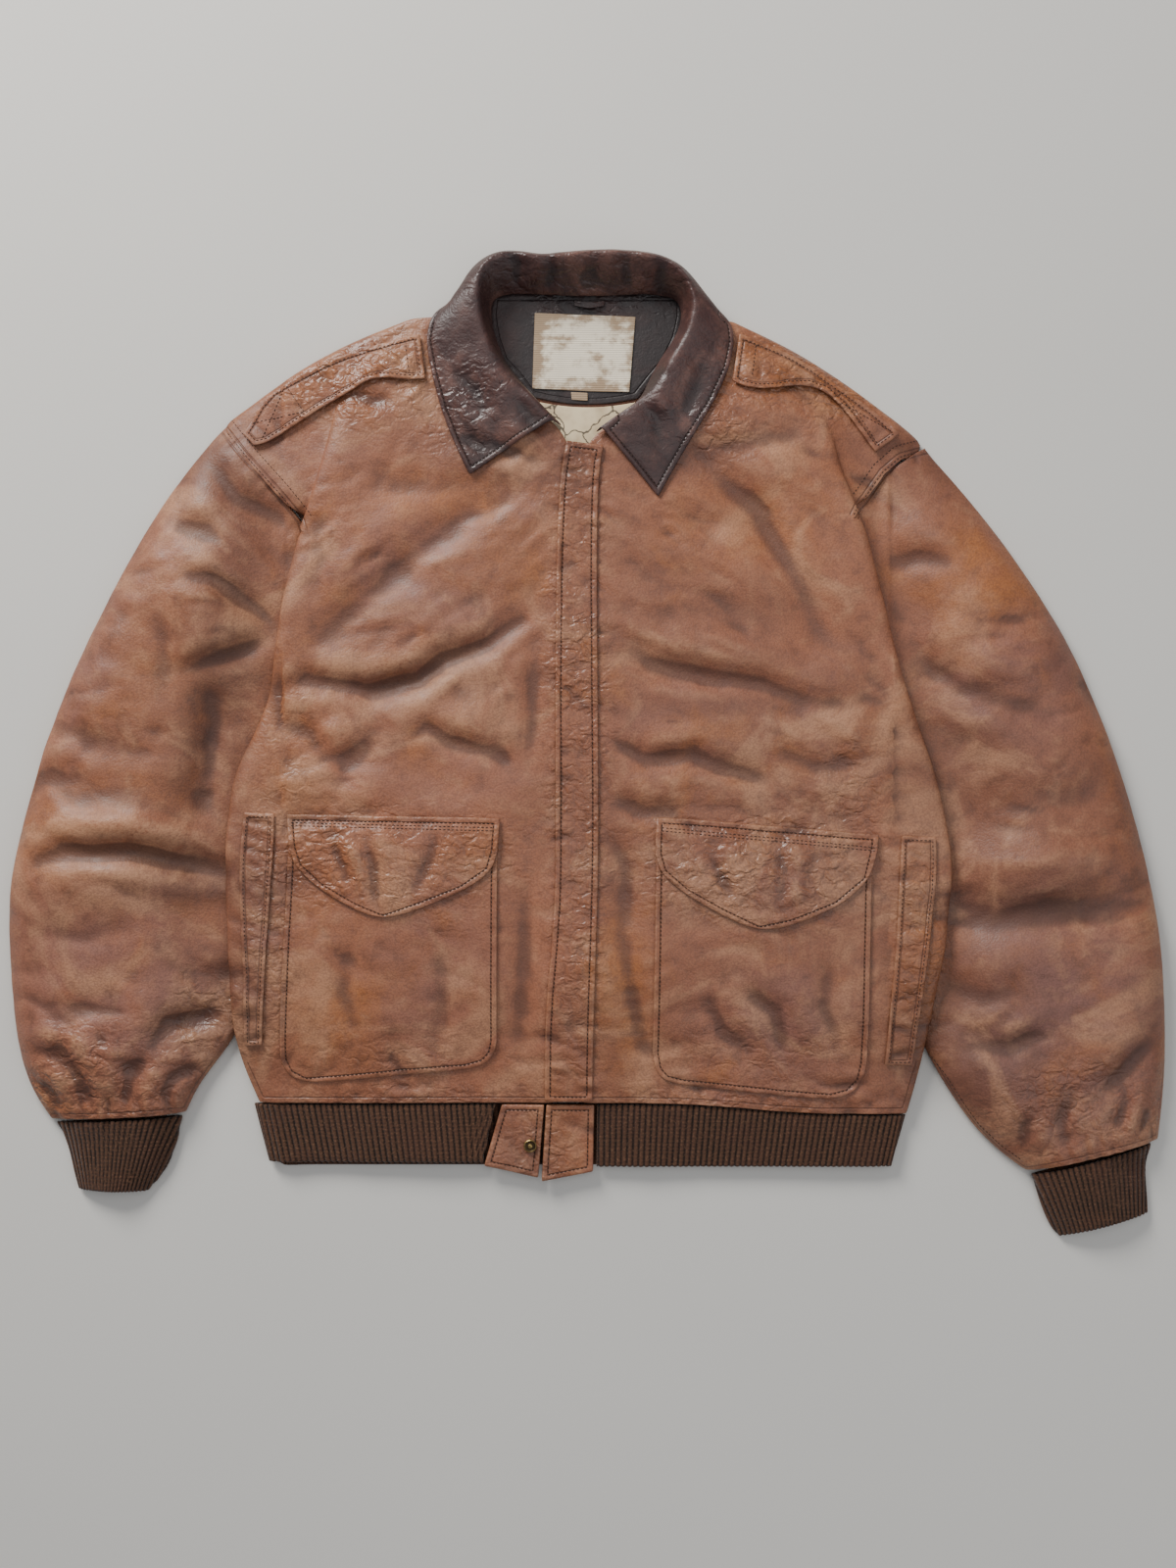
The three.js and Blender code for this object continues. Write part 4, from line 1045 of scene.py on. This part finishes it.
class JACKET_OT_neck(bpy.types.Operator):
    """Collar, neck facing, lining, label, tag and hanger loop"""

    bl_idname = "jacket.neck"
    bl_label = "Collar and Neck"

    def execute(self, context):
        facing = "Black facing hide"
        pieces = [
            ("collar", 3, (0.1, 0.46), 0.033, "collar_leather", "Dark collar hide", "front_left", 0.5),
            ("neck_facing", 3, (0.16, 0.094), 0.0122, "facing_leather", facing, "back_panel", 0.0),
            ("hanger_loop", 3, (0.025, 0.01), 0.00013, "facing_leather", facing, "neck_facing", 0.0),
            ("neck_lining", 3, (0.104, 0.062), 0.0058, "lining_cloth", "Printed cotton", "back_panel", 0.0),
            ("label", 3, (0.084, 0.065), 0.0052, "label_cloth", "Woven label", "neck_facing", 0.0),
            ("size_tag", 2, (0.0135, 0.01), 0.00009, "label_cloth", "Woven label", "neck_facing", 0.0),
        ]
        for name, levels, flat, area, slot, finish_name, below, roll in pieces:
            spread = {"neck_facing": (1.07, 8), "neck_lining": (1.1, 0)}.get(name)
            free = collar_free_edge if name == "collar" else None
            piece = cloth(name, f"{name}_cloth", levels, 0.8, edge_roll=roll, spread=spread, free=free)
            hand_over(piece, [name], material(finish_name))
        return {"FINISHED"}


def cut_across(mesh, across, cuts):
    """Cuts the edges that run across the ribs."""
    if not cuts:
        return
    build = bmesh.new()
    build.from_mesh(mesh)
    crossing = []
    for item in build.edges:
        ends = np.array([item.verts[0].co, item.verts[1].co]) / MM
        if abs(float(np.diff(across(ends))[0])) > 0.6 * item.calc_length() / MM:
            crossing.append(item)
    bmesh.ops.subdivide_edges(build, edges=crossing, cuts=cuts, use_grid_fill=True)
    build.to_mesh(mesh)
    build.free()


def ribbed(source, name, across, cuts_before, levels, cuts_after):
    """A knit band, cut finely across its ribs, which then stand out of it. "across" turns points in
    millimetres to a distance counted across the ribs."""
    build = merged_quads(source)
    mesh = bpy.data.meshes.new(name)
    build.to_mesh(mesh)
    build.free()
    cut_across(mesh, across, cuts_before)
    piece = link(name, mesh)
    rounded(piece, levels)
    mesh = piece.data
    cut_across(mesh, across, cuts_after)
    points = coordinates(mesh) / MM
    normals = coordinates(mesh, "normal")
    phase = across(points) / (sizes().rib_pitch / MM)
    wave = np.abs(np.sin(np.pi * phase)) ** 0.7
    raised = np.clip((points[:, 2] - 1.0) / 3, 0, 1)
    swell = (wave - 0.6) * sizes().rib_depth / MM
    points += normals * (swell * raised)[:, None]
    points[:, 2] += 0.8 * np.clip((points[:, 2] - 3) / 6, 0, 1) * sample(relief["height"], points)
    points[:, 2] = np.maximum(points[:, 2], 0.0)
    mesh.vertices.foreach_set("co", (points * MM).ravel())
    mesh.update()
    store(mesh, "rib", wave * 2 - 1)
    return piece


def hem_across(points):
    """Distance along the hem band: ribs splay a little towards its top, and run round its sides."""
    low, high = (np.array(corner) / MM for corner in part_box("hem_rib"))
    splay = 1 + 0.045 * (points[:, 1] - low[1]) / (high[1] - low[1])
    beyond = np.clip((np.abs(points[:, 0]) / splay - 238) / 8, 0, 1)
    return points[:, 0] / splay + np.sign(points[:, 0]) * beyond * (high[2] - points[:, 2])


def cuff_across(top_middle, bottom_middle, half_widths):
    """Distance across a cuff whose ribs draw together towards the hand."""
    start, end = np.array(top_middle, float), np.array(bottom_middle, float)
    down = (end - start) / np.linalg.norm(end - start)
    side = np.array([-down[1], down[0]])

    def across(points):
        offset = points[:, :2] - start
        share = np.clip(offset @ down / np.linalg.norm(end - start), -0.2, 1.2)
        half = half_widths[0] + (half_widths[1] - half_widths[0]) * share
        return offset @ side / half * half_widths[0]

    return across


class JACKET_OT_knit(bpy.types.Operator):
    """Rib-knit hem band and cuffs"""

    bl_idname = "jacket.knit"
    bl_label = "Knit Bands"

    def execute(self, context):
        right_cuff = cuff_across((-380.5, -304), (-386, -362), (52, 30))
        left_cuff = cuff_across((409.5, -337), (420, -390), (52, 39))
        bands = [
            ("hem_rib", hem_across, (30, 1, 0), (0.05, 1.0), 0.047, "back_panel"),
            ("cuff_right", right_cuff, (0, 2, 2), (0.06, 0.2), 0.0105, "sleeve_right"),
            ("cuff_left", left_cuff, (0, 2, 2), (0.06, 0.2), 0.0108, "sleeve_left"),
        ]
        for name, across, cutting, flat, area, below in bands:
            piece = ribbed(name, f"{name}_knit", across, *cutting)
            hand_over(piece, [name], material("Rib-knit wool"))
        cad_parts["hem_snap"].data.materials.clear()
        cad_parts["hem_snap"].data.materials.append(material("Oxidised brass"))
        return {"FINISHED"}


# Extra rows of stitches, in millimetres, dropped onto the leather from above
EXTRA_ROWS = {
    "shoulder_strap_right_hide": [
        [(-243, 290), (-228, 268)],
        [(-243, 290), (-262, 247)],
        [(-228, 268), (-278, 258)],
        [(-146, 322), (-143, 300)],
    ],
    "shoulder_strap_left_hide": [
        [(208, 284), (200, 281)],
        [(208, 282), (236, 240)],
        [(204, 276), (246, 252)],
        [(136, 322), (132, 294)],
    ],
    "pocket_flap_right_hide": [[(-238, -65), (-76, -69)], [(-238, -62.5), (-76, -66.5)]],
    "pocket_flap_left_hide": [[(59, -69), (230, -85)], [(59, -66.5), (230, -82.5)]],
    "sleeve_left_hide": [[(279, -252), (291, -268), (305, -290), (318, -308), (335, -324), (352, -336)]],
}


# How far from the edge, in millimetres, rows lie that don't follow the usual inset
ARMHOLE_ROWS = (2.6, 10.5)
WELT_ROWS = (3.2,)
STRAP_ROWS = (3.6,)


def everywhere(place):
    return True


def near_armhole(place):
    return place[1] > 183 and abs(place[0]) > 214


def below_flap(place):
    return place[1] < -90


def before_roll(place):
    """True on the collar short of its roll at the back of the neck."""
    return place[1] < 340


class JACKET_OT_stitching(bpy.types.Operator):
    """Rows of stitches along the edges and seams, joined into one mesh"""

    bl_idname = "jacket.stitching"
    bl_label = "Stitching"

    def execute(self, context):
        inset = sizes().seam_inset / MM
        rows = [
            ("front_right_hide", ARMHOLE_ROWS, near_armhole),
            ("front_left_hide", ARMHOLE_ROWS, near_armhole),
            ("pocket_right_hide", (inset,), below_flap),
            ("pocket_left_hide", (inset,), below_flap),
            ("pocket_flap_right_hide", (inset,), everywhere),
            ("pocket_flap_left_hide", (inset,), everywhere),
            ("welt_right_hide", WELT_ROWS, everywhere),
            ("welt_left_hide", WELT_ROWS, everywhere),
            ("wind_flap_hide", (inset,), everywhere),
            ("shoulder_strap_right_hide", STRAP_ROWS, everywhere),
            ("shoulder_strap_left_hide", STRAP_ROWS, everywhere),
            ("hem_tab_right_hide", (inset,), everywhere),
            ("hem_tab_left_hide", (inset,), everywhere),
            ("collar_cloth", (inset,), before_roll),
        ]
        build = bmesh.new()
        for name, levels, keep in rows:
            tree = surface_of(name)
            piece = bpy.data.objects[name]
            values = edge_values(piece)
            for level in levels:
                for line in contour(piece.data, values, level, keep):
                    sew(build, tree, line)
        for name, lines in EXTRA_ROWS.items():
            tree = surface_of(name)
            for points in lines:
                sew(build, tree, dropped(tree, points))
        mesh = bpy.data.meshes.new("stitching")
        build.to_mesh(mesh)
        build.free()
        hand_over(link("stitching", mesh), [], material("Waxed thread"))
        return {"FINISHED"}


# Place and width in metres, watts and colour of each light
LIGHTS = {
    "window": ((-1.2, 1.9, 1.25), 1.1, 84, (1.0, 0.98, 0.95)),
    "fill": ((1.6, -0.8, 1.6), 2.0, 8, (0.94, 0.97, 1.0)),
    "overhead": ((0.3, 0.3, 2.2), 2.0, 10, (1.0, 1.0, 1.0)),
}
SKY = (0.9, 0.93, 1.0, 1)
SKY_STRENGTH = 0.3
FLOOR_REACH = 4
# Metres: the camera's place, and how much floor it takes in along the picture's long side
CAMERA_PLACE = (0.0008, -0.0316, 1.5)
CAMERA_SEES = 1.28
SENSOR_MM = 36


class JACKET_OT_stage(bpy.types.Operator):
    """Pale floor, soft lights and the camera straight above"""

    bl_idname = "jacket.stage"
    bl_label = "Stage"

    def execute(self, context):
        build = bmesh.new()
        bmesh.ops.create_grid(build, x_segments=1, y_segments=1, size=FLOOR_REACH)
        mesh = bpy.data.meshes.new("floor")
        build.to_mesh(mesh)
        build.free()
        floor = link("floor", mesh)
        surface, tree = new_material("Matte studio floor")
        place = own_place(tree)
        pale = paint("floor")
        shade = rgba([0.94 * channel for channel in colours().floor])
        surfaced(tree, blend(tree, cloud(tree, place, 0.4), pale, shade), 0.9)
        mesh.materials.append(surface)

        for name, (place, size, power, warmth) in LIGHTS.items():
            lamp = bpy.data.lights.new(name, "AREA")
            lamp.shape, lamp.size, lamp.energy, lamp.color = "DISK", size, power, warmth
            holder = bpy.data.objects.new(name, lamp)
            context.scene.collection.objects.link(holder)
            holder.location = place
            holder.rotation_mode = "QUATERNION"
            holder.rotation_quaternion = (-Vector(place)).to_track_quat("-Z", "Y")
        world = bpy.data.worlds.new("studio")
        context.scene.world = world
        world.use_nodes = True
        sky = world.node_tree.nodes["Background"]
        sky.inputs[0].default_value = SKY
        sky.inputs[1].default_value = SKY_STRENGTH

        camera = bpy.data.objects.new("camera", bpy.data.cameras.new("camera"))
        context.scene.collection.objects.link(camera)
        camera.location = CAMERA_PLACE
        camera.data.sensor_width = SENSOR_MM
        camera.data.lens = SENSOR_MM * CAMERA_PLACE[2] / CAMERA_SEES
        context.scene.camera = camera
        return {"FINISHED"}


class JACKET_PT_panel(bpy.types.Panel):
    """The jacket's steps, in order"""

    bl_label = "Jacket"
    bl_idname = "JACKET_PT_panel"
    bl_space_type = "VIEW_3D"
    bl_region_type = "UI"
    bl_category = "Jacket"

    def draw(self, context):
        for operator in STEPS:
            self.layout.operator(operator.bl_idname)
        for group in (context.scene.jacket_sizes, context.scene.jacket_colours):
            for key in group.__annotations__:
                self.layout.prop(group, key)


STEPS = (JACKET_OT_body, JACKET_OT_trim, JACKET_OT_neck, JACKET_OT_knit, JACKET_OT_stitching, JACKET_OT_stage)
CLASSES = (JacketSizes, JacketColours, *STEPS, JACKET_PT_panel)


def register():
    for item in CLASSES:
        bpy.utils.register_class(item)
    bpy.types.Scene.jacket_sizes = PointerProperty(type=JacketSizes)
    bpy.types.Scene.jacket_colours = PointerProperty(type=JacketColours)


def unregister():
    del bpy.types.Scene.jacket_colours
    del bpy.types.Scene.jacket_sizes
    for item in reversed(CLASSES):
        bpy.utils.unregister_class(item)


def main():
    register()
    bpy.ops.jacket.body()
    bpy.ops.jacket.trim()
    bpy.ops.jacket.neck()
    bpy.ops.jacket.knit()
    bpy.ops.jacket.stitching()
    bpy.ops.jacket.stage()
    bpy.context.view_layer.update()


if __name__ == "__main__":
    main()
